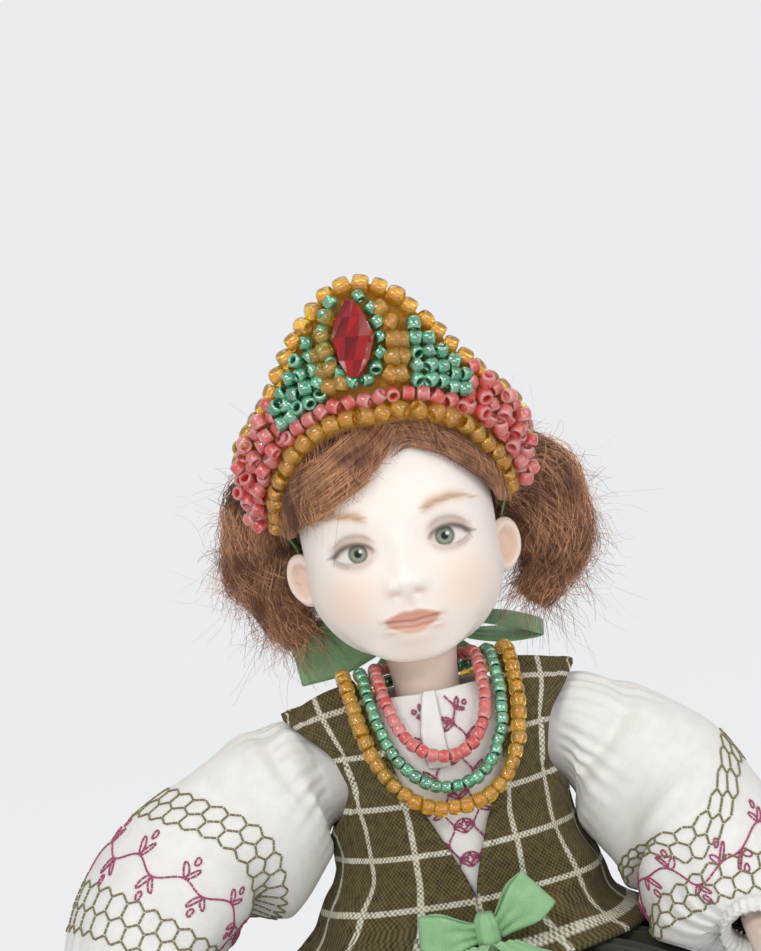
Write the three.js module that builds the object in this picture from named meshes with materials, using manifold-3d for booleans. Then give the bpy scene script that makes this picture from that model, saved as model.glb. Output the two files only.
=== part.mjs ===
// A pincushion doll: a porcelain half doll in folk dress, set in a stuffed round skirt that takes the pins.
// Millimetres, +Z up, and the doll faces -Y. The origin is the centre of the felt base's underside.
// Right and left are the doll's own, so its right arm is at -X.
import * as THREE from "three";
import { mergeVertices } from "three/addons/utils/BufferGeometryUtils.js";
import Module from "manifold-3d";

const wasm = await Module();
wasm.setup();

// Driving dimensions
const GAP = 0.3; // clearance between pieces that touch

// Stuffed skirt
const BASE_RADIUS = 50;
const FELT_THICKNESS = 1.5;
const BOARD_THICKNESS = 3;
const SKIRT_RADIUS = 56; // at the widest, without the gathers
const SKIRT_WIDEST = 24; // height of the widest ring
const SKIRT_TOP = 57.3; // where the figure stands
const SKIRT_FULLNESS = 2.7; // exponent of the crowned top: 2 is an ellipse, more is squarer
const WAIST_OPENING = 18; // radius of the cover's drawn-in top edge
const COVER_WALL = 0.9;
const GATHERS = 24;
const GATHER_DEPTH = 1.5; // from crest to hollow, at its deepest
const BALLAST_RADIUS = 20;
const BALLAST_THICKNESS = 4;
const PEG_RADIUS = 3.5;
const PEG_IN_FIGURE = 15; // how far the peg reaches into the half body

// Half doll, heights measured from the skirt's top
const NECK_PIVOT = 37.7;
const NECK_RADIUS = 5.2;
const LINER_WALL = 0.7;
const CUP_WALL = 1.2;
const NECK_BEAD_RADIUS = 3;
const ELASTIC_RADIUS = 0.6;
const KNOT_RADIUS = 1.5;
const SHOULDER_X = 18.6;
const SHOULDER_Y = 3;
const SHOULDER_HEIGHT = NECK_PIVOT - 8;
const ARM_BALL_RADIUS = 4.4;
const ARM_RADIUS = 3.2;
const WRIST_RADIUS = 2.5;

// Clothes
const VEST_THICKNESS = 0.9;
const BLOUSE_INSET = 1.6; // from the vest's middle surface to the blouse's
const BLOUSE_THICKNESS = 0.6;
const BODY_INSET = 2.7; // from the vest's middle surface to the porcelain
const FRONT_OVERLAP_GAP = 0.5; // between the two front edges
const V_BOTTOM = 9; // height where the neckline's V closes
const V_TOP_X = 14.5; // where the neckline meets the shoulder seam
const SLEEVE_WALL = 0.7;
const SLEEVE_HEAD_RADIUS = 6.9; // gathered into the armhole
const SLEEVE_FOLDS = 6;
const CUFF_WALL = 1.3;
const CUFF_LENGTH = 3.6;

// Head, measured from the neck pivot
const HEAD_TURN = THREE.MathUtils.degToRad(-7); // the head looks a little to its right
const HEAD_CENTRE = new THREE.Vector3(0, 1, 30);
const HEAD_HALF_WIDTH = 15.6;
const HEAD_HALF_FRONT = 17;
const HEAD_HALF_BACK = 19;
const HEAD_HALF_TOP = 21.8;
const HEAD_HALF_CHIN = 22;
const HEAD_SQUARENESS = 2.45;
const CHIN_DROP = 2.2; // the chin hangs below the plain form in front
const JAW_FULLNESS = 0.12;
const HEAD_WALL = 3;
const PATE_RADIUS = 9;
const EAR_HEIGHT = 8.8;
const HAIR_LIFT = 0.8; // from the head to the wig's inside
const HAIR_FRONT = 1.8; // thickness of the wig over the brow
const HAIR_BACK = 5.5; // and at the back

// Beaded headdress
const CROWN_LIFT = 3.3; // from the head to the headdress's lower edge
const CROWN_HEIGHT = 22;
const CROWN_THICKNESS = 1.2;
const SEED_BEAD = 1.05; // radius of the pink and green beads
const AMBER_BEAD = 1.2; // radius of the amber beads
const THREAD = 0.4;
const CRYSTAL_WIDTH = 6.8;
const CRYSTAL_HEIGHT = 11.8;
const CRYSTAL_DEPTH = 4.6;

// Ribbons
const RIBBON_WIDTH = 7;
const TIE_WIDTH = 4;
const RIBBON_THICKNESS = 0.5;

// Facets
const ROUND = 18; // sides of a turned piece
const BEAD_SIDES = 5;

const SIDES = [
  ["right", -1],
  ["left", 1],
];
const V = (x, y, z) => new THREE.Vector3(x, y, z);
const { lerp, smoothstep, degToRad } = THREE.MathUtils;

// Smooth curve through keys [t, value, value...], read in one column
function keyed(keys, column, t) {
  const last = keys.length - 1;
  let i = 0;
  while (i < last - 1 && t > keys[i + 1][0]) i += 1;
  const slope = (k) => {
    const a = keys[Math.max(k - 1, 0)];
    const b = keys[Math.min(k + 1, last)];
    return (b[column] - a[column]) / (b[0] - a[0]);
  };
  const span = keys[i + 1][0] - keys[i][0];
  const s = Math.min(Math.max((t - keys[i][0]) / span, 0), 1);
  const h = s * s * (3 - 2 * s);
  const bend = s * (1 - s) * span;
  const base = lerp(keys[i][column], keys[i + 1][column], h);
  return base + bend * ((1 - s) * slope(i) - s * slope(i + 1));
}

function bell(value, centre, spread) {
  return Math.exp(-(((value - centre) / spread) ** 2));
}

// Closed geometry from points and faces, turned inside out if it encloses a negative volume
function solidFrom(points, faces) {
  const triangles = faces.flatMap((f) => (f.length === 3 ? [f] : [[f[0], f[1], f[2]], [f[0], f[2], f[3]]]));
  const volume = triangles.reduce(
    (sum, [a, b, c]) => sum + points[a].dot(points[b].clone().cross(points[c])),
    0,
  );
  const index = triangles.flatMap(([a, b, c]) => (volume < 0 ? [a, c, b] : [a, b, c]));
  return new THREE.BufferGeometry().setFromPoints(points).setIndex(index);
}

// Quads between neighbouring rings; start is the index of the first ring's first point
function skin(rings, count, start, flip) {
  const faces = [];
  for (let i = 0; i + 1 < rings; i += 1) {
    for (let j = 0; j < count; j += 1) {
      const k = (j + 1) % count;
      const a = start + i * count;
      const b = a + count;
      faces.push(flip ? [a + j, b + j, b + k, a + k] : [a + j, a + k, b + k, b + j]);
    }
  }
  return faces;
}

// Solid through closed rings of points, both ends closed by a fan
function loft(rings) {
  const n = rings[0].length;
  const centre = (ring) => ring.reduce((s, p) => s.add(p), V(0, 0, 0)).divideScalar(n);
  const points = [...rings.flat(), centre(rings[0]), centre(rings.at(-1))];
  const faces = skin(rings.length, n, 0, false);
  const first = rings.length * n;
  const end = first - n;
  for (let j = 0; j < n; j += 1) {
    const k = (j + 1) % n;
    faces.push([first, k, j], [first + 1, end + j, end + k]);
  }
  return solidFrom(points, faces);
}

// Wall between outer and inner rings, open at both ends
function shell(outer, inner) {
  const n = outer[0].length;
  const total = outer.length * n;
  const faces = [...skin(outer.length, n, 0, false), ...skin(inner.length, n, total, true)];
  const end = total - n;
  for (let j = 0; j < n; j += 1) {
    const k = (j + 1) % n;
    faces.push([k, j, total + j, total + k], [end + j, end + k, total + end + k, total + end + j]);
  }
  return solidFrom([...outer.flat(), ...inner.flat()], faces);
}

// Cap of even wall from a pole to its rim: outer and inner rings start round the pole
function cap(outer, inner) {
  const n = outer[0].length;
  const total = outer.length * n;
  const middle = (ring) => ring.reduce((s, p) => s.add(p), V(0, 0, 0)).divideScalar(n);
  const points = [...outer.flat(), ...inner.flat(), middle(outer[0]), middle(inner[0])];
  const faces = [...skin(outer.length, n, 0, false), ...skin(inner.length, n, total, true)];
  const end = total - n;
  for (let j = 0; j < n; j += 1) {
    const k = (j + 1) % n;
    faces.push([2 * total, k, j], [2 * total + 1, total + j, total + k]);
    faces.push([end + j, end + k, total + end + k, total + end + j]);
  }
  return solidFrom(points, faces);
}

// Cloth or board: a grid of points thickened about its middle surface
function sheet(grid, thickness) {
  const rows = grid.length;
  const columns = grid[0].length;
  const side = (sign) =>
    grid.flatMap((row, i) =>
      row.map((p, j) => {
        const across = grid[i][Math.min(j + 1, columns - 1)].clone().sub(grid[i][Math.max(j - 1, 0)]);
        const along = grid[Math.min(i + 1, rows - 1)][j].clone().sub(grid[Math.max(i - 1, 0)][j]);
        return p.clone().addScaledVector(across.cross(along).normalize(), (sign * thickness) / 2);
      }),
    );
  const at = (i, j) => i * columns + j;
  const back = rows * columns;
  const faces = [];
  for (let i = 0; i + 1 < rows; i += 1) {
    for (let j = 0; j + 1 < columns; j += 1) {
      const quad = [at(i, j), at(i, j + 1), at(i + 1, j + 1), at(i + 1, j)];
      faces.push(quad, quad.map((k) => k + back).reverse());
    }
  }
  const rim = [];
  for (let j = 0; j + 1 < columns; j += 1) rim.push(at(0, j));
  for (let i = 0; i + 1 < rows; i += 1) rim.push(at(i, columns - 1));
  for (let j = columns - 1; j > 0; j -= 1) rim.push(at(rows - 1, j));
  for (let i = rows - 1; i > 0; i -= 1) rim.push(at(i, 0));
  rim.forEach((a, k) => {
    const b = rim[(k + 1) % rim.length];
    faces.push([b, a, a + back, b + back]);
  });
  return solidFrom([...side(1), ...side(-1)], faces);
}

// Turned piece about Z from a profile of [radius, height]
function turned(profile, sides = ROUND) {
  const points = profile.map(([r, z]) => new THREE.Vector2(r, z));
  return new THREE.LatheGeometry(points, sides).rotateX(Math.PI / 2);
}

function disc(radius, foot, top, sides) {
  return turned([[0, foot], [radius, foot], [radius, top], [0, top]], sides);
}

function arc(radius, from, to, steps, height = 0) {
  return Array.from({ length: steps + 1 }, (_, i) => {
    const a = degToRad(lerp(from, to, i / steps));
    return [radius * Math.cos(a), height + radius * Math.sin(a)];
  });
}

// Frames carried along a path without twisting: [point, side, up] for each point
function framesAlong(points, firstUp) {
  let up = firstUp.clone();
  return points.map((p, i) => {
    const tangent = points[Math.min(i + 1, points.length - 1)]
      .clone()
      .sub(points[Math.max(i - 1, 0)])
      .normalize();
    up = up.clone().addScaledVector(tangent, -up.dot(tangent)).normalize();
    return [p, tangent.clone().cross(up), up];
  });
}

// Ring of points round a frame; radius is a number or a function of the angle
function ringRound([p, side, up], radius, sides) {
  return Array.from({ length: sides }, (_, j) => {
    const a = (2 * Math.PI * j) / sides;
    const r = typeof radius === "function" ? radius(a) : radius;
    return p
      .clone()
      .addScaledVector(side, r * Math.cos(a))
      .addScaledVector(up, r * Math.sin(a));
  });
}

// Round bar along points with a radius at each
function bar(points, radii, sides, firstUp) {
  return loft(framesAlong(points, firstUp).map((f, i) => ringRound(f, radii[i], sides)));
}

function smoothPath(points, steps) {
  return new THREE.CatmullRomCurve3(points, false, "centripetal").getSpacedPoints(steps);
}

// Boolean work
function toSolid(geometry) {
  const bare = geometry.index ? geometry.toNonIndexed() : geometry.clone();
  const only = new THREE.BufferGeometry().setAttribute("position", bare.getAttribute("position"));
  const merged = mergeVertices(only, 1e-4);
  return new wasm.Manifold(
    new wasm.Mesh({
      numProp: 3,
      vertProperties: merged.attributes.position.array,
      triVerts: new Uint32Array(merged.index.array),
    }),
  );
}

function fromSolid(solid) {
  const mesh = solid.getMesh();
  return new THREE.BufferGeometry()
    .setAttribute("position", new THREE.BufferAttribute(mesh.vertProperties, 3))
    .setIndex(new THREE.BufferAttribute(mesh.triVerts, 1));
}

function cut(geometry, ...tools) {
  return fromSolid(tools.reduce((solid, tool) => solid.subtract(toSolid(tool)), toSolid(geometry)));
}

function joined(...geometries) {
  return fromSolid(geometries.map(toSolid).reduce((a, b) => a.add(b)));
}

function ball(radius, centre, wide = 12, high = 8) {
  return new THREE.SphereGeometry(radius, wide, high).translate(centre.x, centre.y, centre.z);
}

function rodAlongX(radius, from, to, y, z, sides = 12) {
  return new THREE.CylinderGeometry(radius, radius, to - from, sides)
    .rotateZ(Math.PI / 2)
    .translate((from + to) / 2, y, z);
}

function rodAlongZ(radius, from, to, sides = 12) {
  return new THREE.CylinderGeometry(radius, radius, to - from, sides)
    .rotateX(Math.PI / 2)
    .translate(0, 0, (from + to) / 2);
}

// Materials, named for what the pieces are made of
const material = (color, roughness, metalness = 0) =>
  new THREE.MeshStandardMaterial({ color, roughness, metalness });
const PORCELAIN = material("#efe2d6", 0.35);
const OLIVE_CHECK = material("#5f5a36", 0.9);
const WHITE_BATISTE = material("#f3f0ea", 0.85);
const DARK_GREEN_COTTON = material("#22331f", 0.9);
const GREEN_RIBBON = material("#5f9a66", 0.6);
const MOHAIR = material("#7d4a30", 0.8);
const AMBER_GLASS = material("#c9860f", 0.1);
const GREEN_GLASS = material("#2f9c73", 0.12);
const PINK_GLASS = material("#cf5350", 0.12);
const RED_CRYSTAL = material("#a3121b", 0.05);
const FELT = material("#3a3f2c", 0.95);
const GREYBOARD = material("#9a8f7c", 0.9);
const STEEL = material("#8d9094", 0.4, 1);
const BEECH = material("#c9a877", 0.6);
const WADDING = material("#e9e4d8", 0.95);
const KID_LEATHER = material("#d8c3a4", 0.8);
const ELASTIC = material("#e6e3dc", 0.8);

const doll = new THREE.Group();
const figure = new THREE.Group();
figure.position.z = SKIRT_TOP;
const head = new THREE.Group();
head.position.z = NECK_PIVOT;
head.rotation.z = HEAD_TURN;
doll.add(figure);
figure.add(head);

function piece(group, name, geometry, look) {
  const mesh = new THREE.Mesh(geometry, look);
  mesh.name = name;
  group.add(mesh);
}

// Stuffed skirt: section of the cover as [radius, height], from the waist opening at 0 to the base at 1
const COVER_FOOT = FELT_THICKNESS + GAP;
const UPPER_SHARE = 0.72;

function skirtSection(u) {
  if (u <= UPPER_SHARE) {
    const r = lerp(WAIST_OPENING, SKIRT_RADIUS, Math.sin((u / UPPER_SHARE) * (Math.PI / 2)));
    const rise = (1 - Math.min(r / SKIRT_RADIUS, 1) ** SKIRT_FULLNESS) ** (1 / SKIRT_FULLNESS);
    return [r, SKIRT_WIDEST + (SKIRT_TOP - SKIRT_WIDEST) * rise];
  }
  const a = ((u - UPPER_SHARE) / (1 - UPPER_SHARE)) * (Math.PI / 2);
  return [
    BASE_RADIUS + (SKIRT_RADIUS - BASE_RADIUS) * Math.cos(a),
    SKIRT_WIDEST - (SKIRT_WIDEST - COVER_FOOT) * Math.sin(a),
  ];
}

// The section moved inward by a distance, along its own normal
function skirtInside(u, inward) {
  const step = 0.01;
  const [r0, z0] = skirtSection(Math.max(u - step, 0));
  const [r1, z1] = skirtSection(Math.min(u + step, 1));
  const length = Math.hypot(r1 - r0, z1 - z0);
  const [r, z] = skirtSection(u);
  const foot = u === 1 ? 0 : 1;
  return [r + (inward * (z1 - z0)) / length, z - (inward * foot * (r1 - r0)) / length];
}

// Share of the gathers' depth along the section: drawn in at the waist, pulled flat at the foot
const GATHER_SHARES = [
  [0, 0.4],
  [0.2, 1],
  [UPPER_SHARE, 0.9],
  [1, 0.25],
];

function skirtRing(u, inward) {
  const [r, z] = skirtInside(u, inward);
  const sides = 2 * GATHERS;
  const half = (GATHER_DEPTH / 2) * keyed(GATHER_SHARES, 1, u);
  return Array.from({ length: sides }, (_, j) => {
    const a = (2 * Math.PI * j) / sides;
    const swell = j % 2 ? -half : half;
    return V((r + swell) * Math.cos(a), (r + swell) * Math.sin(a), u === 1 ? z : z + swell);
  });
}

const SKIRT_STEPS = [0, 0.2, 0.38, 0.52, UPPER_SHARE, 0.86, 1];
const FILLING_STEPS = [0.06, 0.22, 0.38, 0.52, UPPER_SHARE, 0.86];
const BOARD_FOOT = COVER_FOOT;
const BOARD_TOP = BOARD_FOOT + BOARD_THICKNESS;
const BALLAST_FOOT = BOARD_TOP + GAP;
const FOLD_ROOM = 0.62; // of the gathers' depth, left free outside the filling
const FILLING_INWARD = COVER_WALL + FOLD_ROOM * GATHER_DEPTH + GAP;
const FILLING_TOP = skirtInside(0, FILLING_INWARD)[1];
const FIGURE_FOOT = FILLING_TOP + GAP - SKIRT_TOP; // underside of the half body, in the figure's heights
const PEG_BORE = PEG_RADIUS + GAP;

function buildSkirt() {
  const boardRadius = BASE_RADIUS - COVER_WALL - GATHER_DEPTH / 2 - GAP;
  piece(doll, "base_felt", disc(BASE_RADIUS, 0, FELT_THICKNESS, 28), FELT);
  piece(doll, "base_board", disc(boardRadius, BOARD_FOOT, BOARD_TOP, 28), GREYBOARD);
  const ballastTop = BALLAST_FOOT + BALLAST_THICKNESS;
  piece(
    doll,
    "ballast_disc",
    turned([
      [PEG_BORE, BALLAST_FOOT],
      [BALLAST_RADIUS, BALLAST_FOOT],
      [BALLAST_RADIUS, ballastTop],
      [PEG_BORE, ballastTop],
      [PEG_BORE, BALLAST_FOOT],
    ]),
    STEEL,
  );
  piece(doll, "waist_peg", disc(PEG_RADIUS, BALLAST_FOOT, SKIRT_TOP + PEG_IN_FIGURE, 12), BEECH);
  const recess = BALLAST_RADIUS + GAP;
  const recessTop = ballastTop + GAP;
  const [footRadius] = skirtInside(FILLING_STEPS.at(-1), FILLING_INWARD);
  const profile = [
    [PEG_BORE, FILLING_TOP],
    ...FILLING_STEPS.map((u) => skirtInside(u, FILLING_INWARD)),
    [footRadius - 3, BALLAST_FOOT],
    [recess, BALLAST_FOOT],
    [recess, recessTop],
    [PEG_BORE, recessTop],
  ];
  piece(doll, "cushion_filling", turned([...profile, profile[0]].reverse(), ROUND), WADDING);
  const outer = SKIRT_STEPS.map((u) => skirtRing(u, 0));
  const inner = SKIRT_STEPS.map((u) => skirtRing(u, COVER_WALL));
  piece(doll, "skirt_cover", shell(outer, inner), DARK_GREEN_COTTON);
}

const SHOULDER_RIDGE = NECK_PIVOT + 6.5;

// Vest's middle surface from the hem to the shoulder ridge: share of the way, height, half width, half depth
const VEST_ROWS = [
  [0, 0, 27, 23],
  [0.1, 4, 21.5, 17.2],
  [0.2, 9, 19.4, 15.2],
  [0.4, NECK_PIVOT - 20.7, 18.7, 14.7],
  [0.6, NECK_PIVOT - 11.7, 19.2, 14.8],
  [0.78, NECK_PIVOT - 3.7, 20.3, 12.6],
  [0.9, NECK_PIVOT + 2, 21, 8.2],
  [1, SHOULDER_RIDGE, 21.3, 1.1],
];
const SHOULDER_DROP = 4; // from the neck to the shoulder's tip

// Angle 0 is the front, 90 degrees the doll's left side
function torsoPoint(angle, t, inset = 0) {
  const halfWidth = keyed(VEST_ROWS, 2, t) - inset;
  const halfDepth = keyed(VEST_ROWS, 3, t) - inset;
  const x = halfWidth * Math.sin(angle);
  const y = -halfDepth * Math.cos(angle);
  const drop = SHOULDER_DROP * (x / keyed(VEST_ROWS, 2, t)) ** 2 * smoothstep(t, 0.72, 1);
  return V(x, y, keyed(VEST_ROWS, 1, t) - drop);
}

// The row at a height on the vest's middle surface
function rowAt(height) {
  let low = 0;
  let high = 1;
  for (let i = 0; i < 30; i += 1) {
    const middle = (low + high) / 2;
    if (keyed(VEST_ROWS, 1, middle) < height) low = middle;
    else high = middle;
  }
  return low;
}

function torsoRing(t, inset, sides) {
  return Array.from({ length: sides }, (_, j) => torsoPoint((2 * Math.PI * j) / sides, t, inset));
}

function shoulderAt(sign) {
  return V(sign * SHOULDER_X, SHOULDER_Y, SHOULDER_HEIGHT);
}

const CUP_RADIUS = NECK_RADIUS + LINER_WALL + 2 * GAP;
const NECK_AT = V(0, 0, NECK_PIVOT);

function buildHalfBody() {
  const rows = [0.2, 0.4, 0.6, 0.72, 0.8];
  const foot = torsoRing(0.2, BODY_INSET, ROUND).map((p) => V(p.x, p.y, FIGURE_FOOT));
  const trunk = loft([foot, ...rows.map((t) => torsoRing(t, BODY_INSET, ROUND))]);
  const rim = CUP_RADIUS + CUP_WALL;
  const neckBase = turned([
    [0, NECK_PIVOT - 10],
    [rim + 3, NECK_PIVOT - 10],
    [rim + 0.6, NECK_PIVOT - 3.5],
    [rim, NECK_PIVOT],
    [0, NECK_PIVOT],
  ]);
  const channel = ELASTIC_RADIUS + 2 * GAP;
  const sockets = [-1, 1].map((sign) => ball(ARM_BALL_RADIUS + GAP, shoulderAt(sign)));
  const boreTop = PEG_IN_FIGURE + 3 * KNOT_RADIUS;
  const solid = cut(
    joined(trunk, neckBase),
    ball(CUP_RADIUS, NECK_AT, ROUND, 12),
    rodAlongZ(channel, boreTop - 1, NECK_PIVOT, 8),
    rodAlongZ(PEG_BORE, FIGURE_FOOT - 1, boreTop),
    rodAlongX(channel, -SHOULDER_X, SHOULDER_X, SHOULDER_Y, SHOULDER_HEIGHT, 8),
    ...sockets,
  );
  piece(figure, "half_body", solid, PORCELAIN);
}

// Blouse under the vest, with round armholes
const BLOUSE_ROWS = [0.16, 0.24, 0.4, 0.6, 0.7, 0.79];

// Its neckline, drawn in over the shoulders: half width, half depth in front and behind, height
const NECKLINE_ROWS = [
  [13, 9.4, 8.6, NECK_PIVOT + 0.4],
  [9.2, 8.6, 8.2, NECK_PIVOT + 2.7],
];

function blouseRings(inset) {
  const drawnIn = NECKLINE_ROWS.map(([halfWidth, front, back, height]) =>
    Array.from({ length: ROUND }, (_, j) => {
      const a = (2 * Math.PI * j) / ROUND;
      const depth = Math.cos(a) > 0 ? front : back;
      return V((halfWidth - inset) * Math.sin(a), -(depth - inset) * Math.cos(a), height - inset / 2);
    }),
  );
  return [...BLOUSE_ROWS.map((t) => torsoRing(t, BLOUSE_INSET + inset, ROUND)), ...drawnIn];
}

function buildBlouse() {
  const outer = blouseRings(-BLOUSE_THICKNESS / 2);
  const inner = blouseRings(BLOUSE_THICKNESS / 2);
  const hole = SLEEVE_HEAD_RADIUS + GAP;
  const armholes = [-1, 1].map((s) =>
    rodAlongX(hole, s * SHOULDER_X - 8, s * SHOULDER_X + 8, SHOULDER_Y, SHOULDER_HEIGHT, 16),
  );
  piece(figure, "blouse_bodice", cut(shell(outer, inner), ...armholes), WHITE_BATISTE);
  const strip = [0.5, 0.62, 0.74, 0.82].map((t) =>
    [-0.055, 0.055].map((angle) => torsoPoint(angle, t, BLOUSE_INSET - BLOUSE_THICKNESS - GAP)),
  );
  piece(figure, "blouse_placket", sheet(strip, BLOUSE_THICKNESS), WHITE_BATISTE);
}

// Vest: where the front edge and the armhole edge lie at each height, as X on the vest's surface
const FRONT_EDGE = [
  [0, FRONT_OVERLAP_GAP],
  [V_BOTTOM, FRONT_OVERLAP_GAP],
  [19, 4],
  [NECK_PIVOT - 8.7, 9.5],
  [SHOULDER_RIDGE, V_TOP_X],
];
const ARMHOLE_BOTTOM = SHOULDER_HEIGHT - SLEEVE_HEAD_RADIUS - 2.3;
const ARMHOLE_EDGE = [
  [ARMHOLE_BOTTOM, 18.6],
  [NECK_PIVOT - 10.2, 15.8],
  [NECK_PIVOT - 3.7, 17.2],
  [SHOULDER_RIDGE, 21.2],
];
const SIDE_SEAM = degToRad(89);
const SEAM_ALLOWANCE = 0.02; // angle left between the back and the fronts at the side seams

// Half the gap between front and back, which widens over the shoulder where their edges slope
function seamGap(t) {
  return 0.65 * smoothstep(t, 0.8, 1);
}

function vestFront(side) {
  const rows = [0, 0.06, 0.13, 0.22, 0.34, 0.46, 0.56, 0.67, 0.78, 0.88, 0.95, 1];
  const columns = 5;
  const grid = rows.map((t) => {
    const height = keyed(VEST_ROWS, 1, t);
    const halfWidth = keyed(VEST_ROWS, 2, t);
    const inner = Math.asin(keyed(FRONT_EDGE, 1, height) / halfWidth);
    const armhole = Math.asin(Math.min(keyed(ARMHOLE_EDGE, 1, height) / halfWidth, 1));
    const outer = height < ARMHOLE_BOTTOM ? SIDE_SEAM : Math.min(armhole, SIDE_SEAM);
    return Array.from({ length: columns + 1 }, (_, j) => {
      const p = torsoPoint(side * lerp(inner, outer, j / columns), t);
      p.y = Math.min(p.y, -seamGap(t));
      return p;
    });
  });
  return sheet(grid, VEST_THICKNESS);
}

// The back runs up to the shoulder seams at its sides and is scooped at the neck
const BACK_NECKLINE = 0.86;

function vestBack() {
  const rows = [0, 0.06, 0.13, 0.22, 0.34, 0.46, 0.56, 0.67, 0.78, 0.89, 1];
  const columns = 12;
  const grid = rows.map((s) =>
    Array.from({ length: columns + 1 }, (_, j) => {
      const across = (2 * j) / columns - 1;
      const t = s * lerp(BACK_NECKLINE, 1, smoothstep(Math.abs(across), 0.5, 0.75));
      const height = keyed(VEST_ROWS, 1, t);
      const share = Math.min(keyed(ARMHOLE_EDGE, 1, height) / keyed(VEST_ROWS, 2, t), 1);
      const reach = height < ARMHOLE_BOTTOM ? SIDE_SEAM : Math.min(Math.asin(share), SIDE_SEAM);
      const p = torsoPoint(Math.PI - across * (reach - SEAM_ALLOWANCE), t);
      p.y = Math.max(p.y, seamGap(t));
      return p;
    }),
  );
  return sheet(grid, VEST_THICKNESS);
}

function buildVest() {
  piece(figure, "vest_right_front", vestFront(-1), OLIVE_CHECK);
  piece(figure, "vest_left_front", vestFront(1), OLIVE_CHECK);
  piece(figure, "vest_back", vestBack(), OLIVE_CHECK);
}

// Beads on a thread: stations of [point, radius], swelling at each bead and thin between beads
function strand(stations, firstUp) {
  const frames = framesAlong(stations.map(([p]) => p), firstUp);
  return loft(frames.map((f, i) => ringRound(f, stations[i][1], BEAD_SIDES)));
}

function beadsOn(curve, count, radius) {
  const stations = [];
  for (let i = 0; i < count; i += 1) {
    stations.push([curve.getPointAt(i / count), THREAD], [curve.getPointAt((i + 0.5) / count), radius]);
  }
  stations.push([curve.getPointAt(1), THREAD]);
  return stations;
}

const NECK_CLEARANCE = NECK_RADIUS + 2.9; // no strand comes nearer to the neck's axis
const NECKLACE_RIDGE = SHOULDER_RIDGE - 0.4; // height where the strands cross the shoulders
const BEAD_SPACING = 0.05; // between neighbours on a thread

// A necklace: half width at the shoulders, lowest bead in front and behind from the neck pivot, bead radius
const NECKLACES = [
  ["necklace_pink", NECK_CLEARANCE, -7.2, 5.3, SEED_BEAD, PINK_GLASS],
  ["necklace_green", 10.4, -11.9, 2.7, SEED_BEAD, GREEN_GLASS],
  ["necklace_amber", 13.2, -15.3, -0.1, AMBER_BEAD, AMBER_GLASS],
];

// Half of a necklace lying on the vest: facing is -1 in front and 1 behind
function necklaceHalf(halfWidth, lowest, radius, facing, steps) {
  const lift = VEST_THICKNESS / 2 + radius + GAP;
  return Array.from({ length: steps + 1 }, (_, i) => {
    const q = -1 + (2 * i) / steps;
    const height = lowest + (NECKLACE_RIDGE - lowest) * Math.abs(q) ** 2.1;
    const x = halfWidth * Math.sin((q * Math.PI) / 2);
    const t = rowAt(height);
    const across = Math.min(Math.abs(x) / keyed(VEST_ROWS, 2, t), 1);
    const depth = keyed(VEST_ROWS, 3, t) * Math.sqrt(1 - across * across) + lift;
    const clear = Math.sqrt(Math.max(NECK_CLEARANCE ** 2 - x * x, 0));
    return V(x, facing * Math.max(depth, clear), height + 0.4 * lift);
  });
}

function necklacePath(halfWidth, front, back, radius) {
  const before = necklaceHalf(halfWidth, NECK_PIVOT + front, radius, -1, 12);
  const behind = necklaceHalf(halfWidth, NECK_PIVOT + back, radius, 1, 6).reverse().slice(1, -1);
  return new THREE.CatmullRomCurve3([...before, ...behind], true, "centripetal");
}

function buildNecklaces() {
  for (const [name, halfWidth, front, back, radius, look] of NECKLACES) {
    const curve = necklacePath(halfWidth, front, back, radius);
    const count = Math.round(curve.getLength() / (2 * radius + BEAD_SPACING));
    const stations = beadsOn(curve, count, radius);
    const open = stations.slice(0, -2); // the clasp knot at the nape leaves the last bead out
    const start = Math.round(open.length * 0.81) - (Math.round(open.length * 0.81) % 2);
    piece(figure, name, strand([...open.slice(start), ...open.slice(0, start - 1)], V(0, 0, 1)), look);
  }
}

// A ribbon: points down its middle, with the direction of its width at each
function ribbon(points, widths, across, thickness = RIBBON_THICKNESS) {
  const grid = points.map((p, i) =>
    [-0.5, 0, 0.5].map((k) => p.clone().addScaledVector(across[i], k * widths[i])),
  );
  return sheet(grid, thickness);
}

// One loop of a bow as a flat teardrop tube of ribbon, from the knot out to its fold
function bowLoop(knot, tip, width, puff, out) {
  const steps = 5;
  const outward = tip.clone().sub(knot);
  const across = outward.clone().cross(out).normalize();
  const layer = (sign) =>
    Array.from({ length: steps + 1 }, (_, i) => {
      const s = i / steps;
      const bulge = sign * puff * Math.sin(Math.PI * s) ** 0.8;
      return knot.clone().addScaledVector(outward, s).addScaledVector(out, bulge);
    });
  const path = [...layer(1), ...layer(-1).reverse().slice(1, -1)];
  const opened = (p) => Math.min(p.distanceTo(knot) / (0.6 * outward.length()), 1);
  const widths = path.map((p) => width * lerp(0.45, 1, opened(p)));
  return ribbon(path, widths, path.map(() => across));
}

const TAIL_STEPS = 4;

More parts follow.
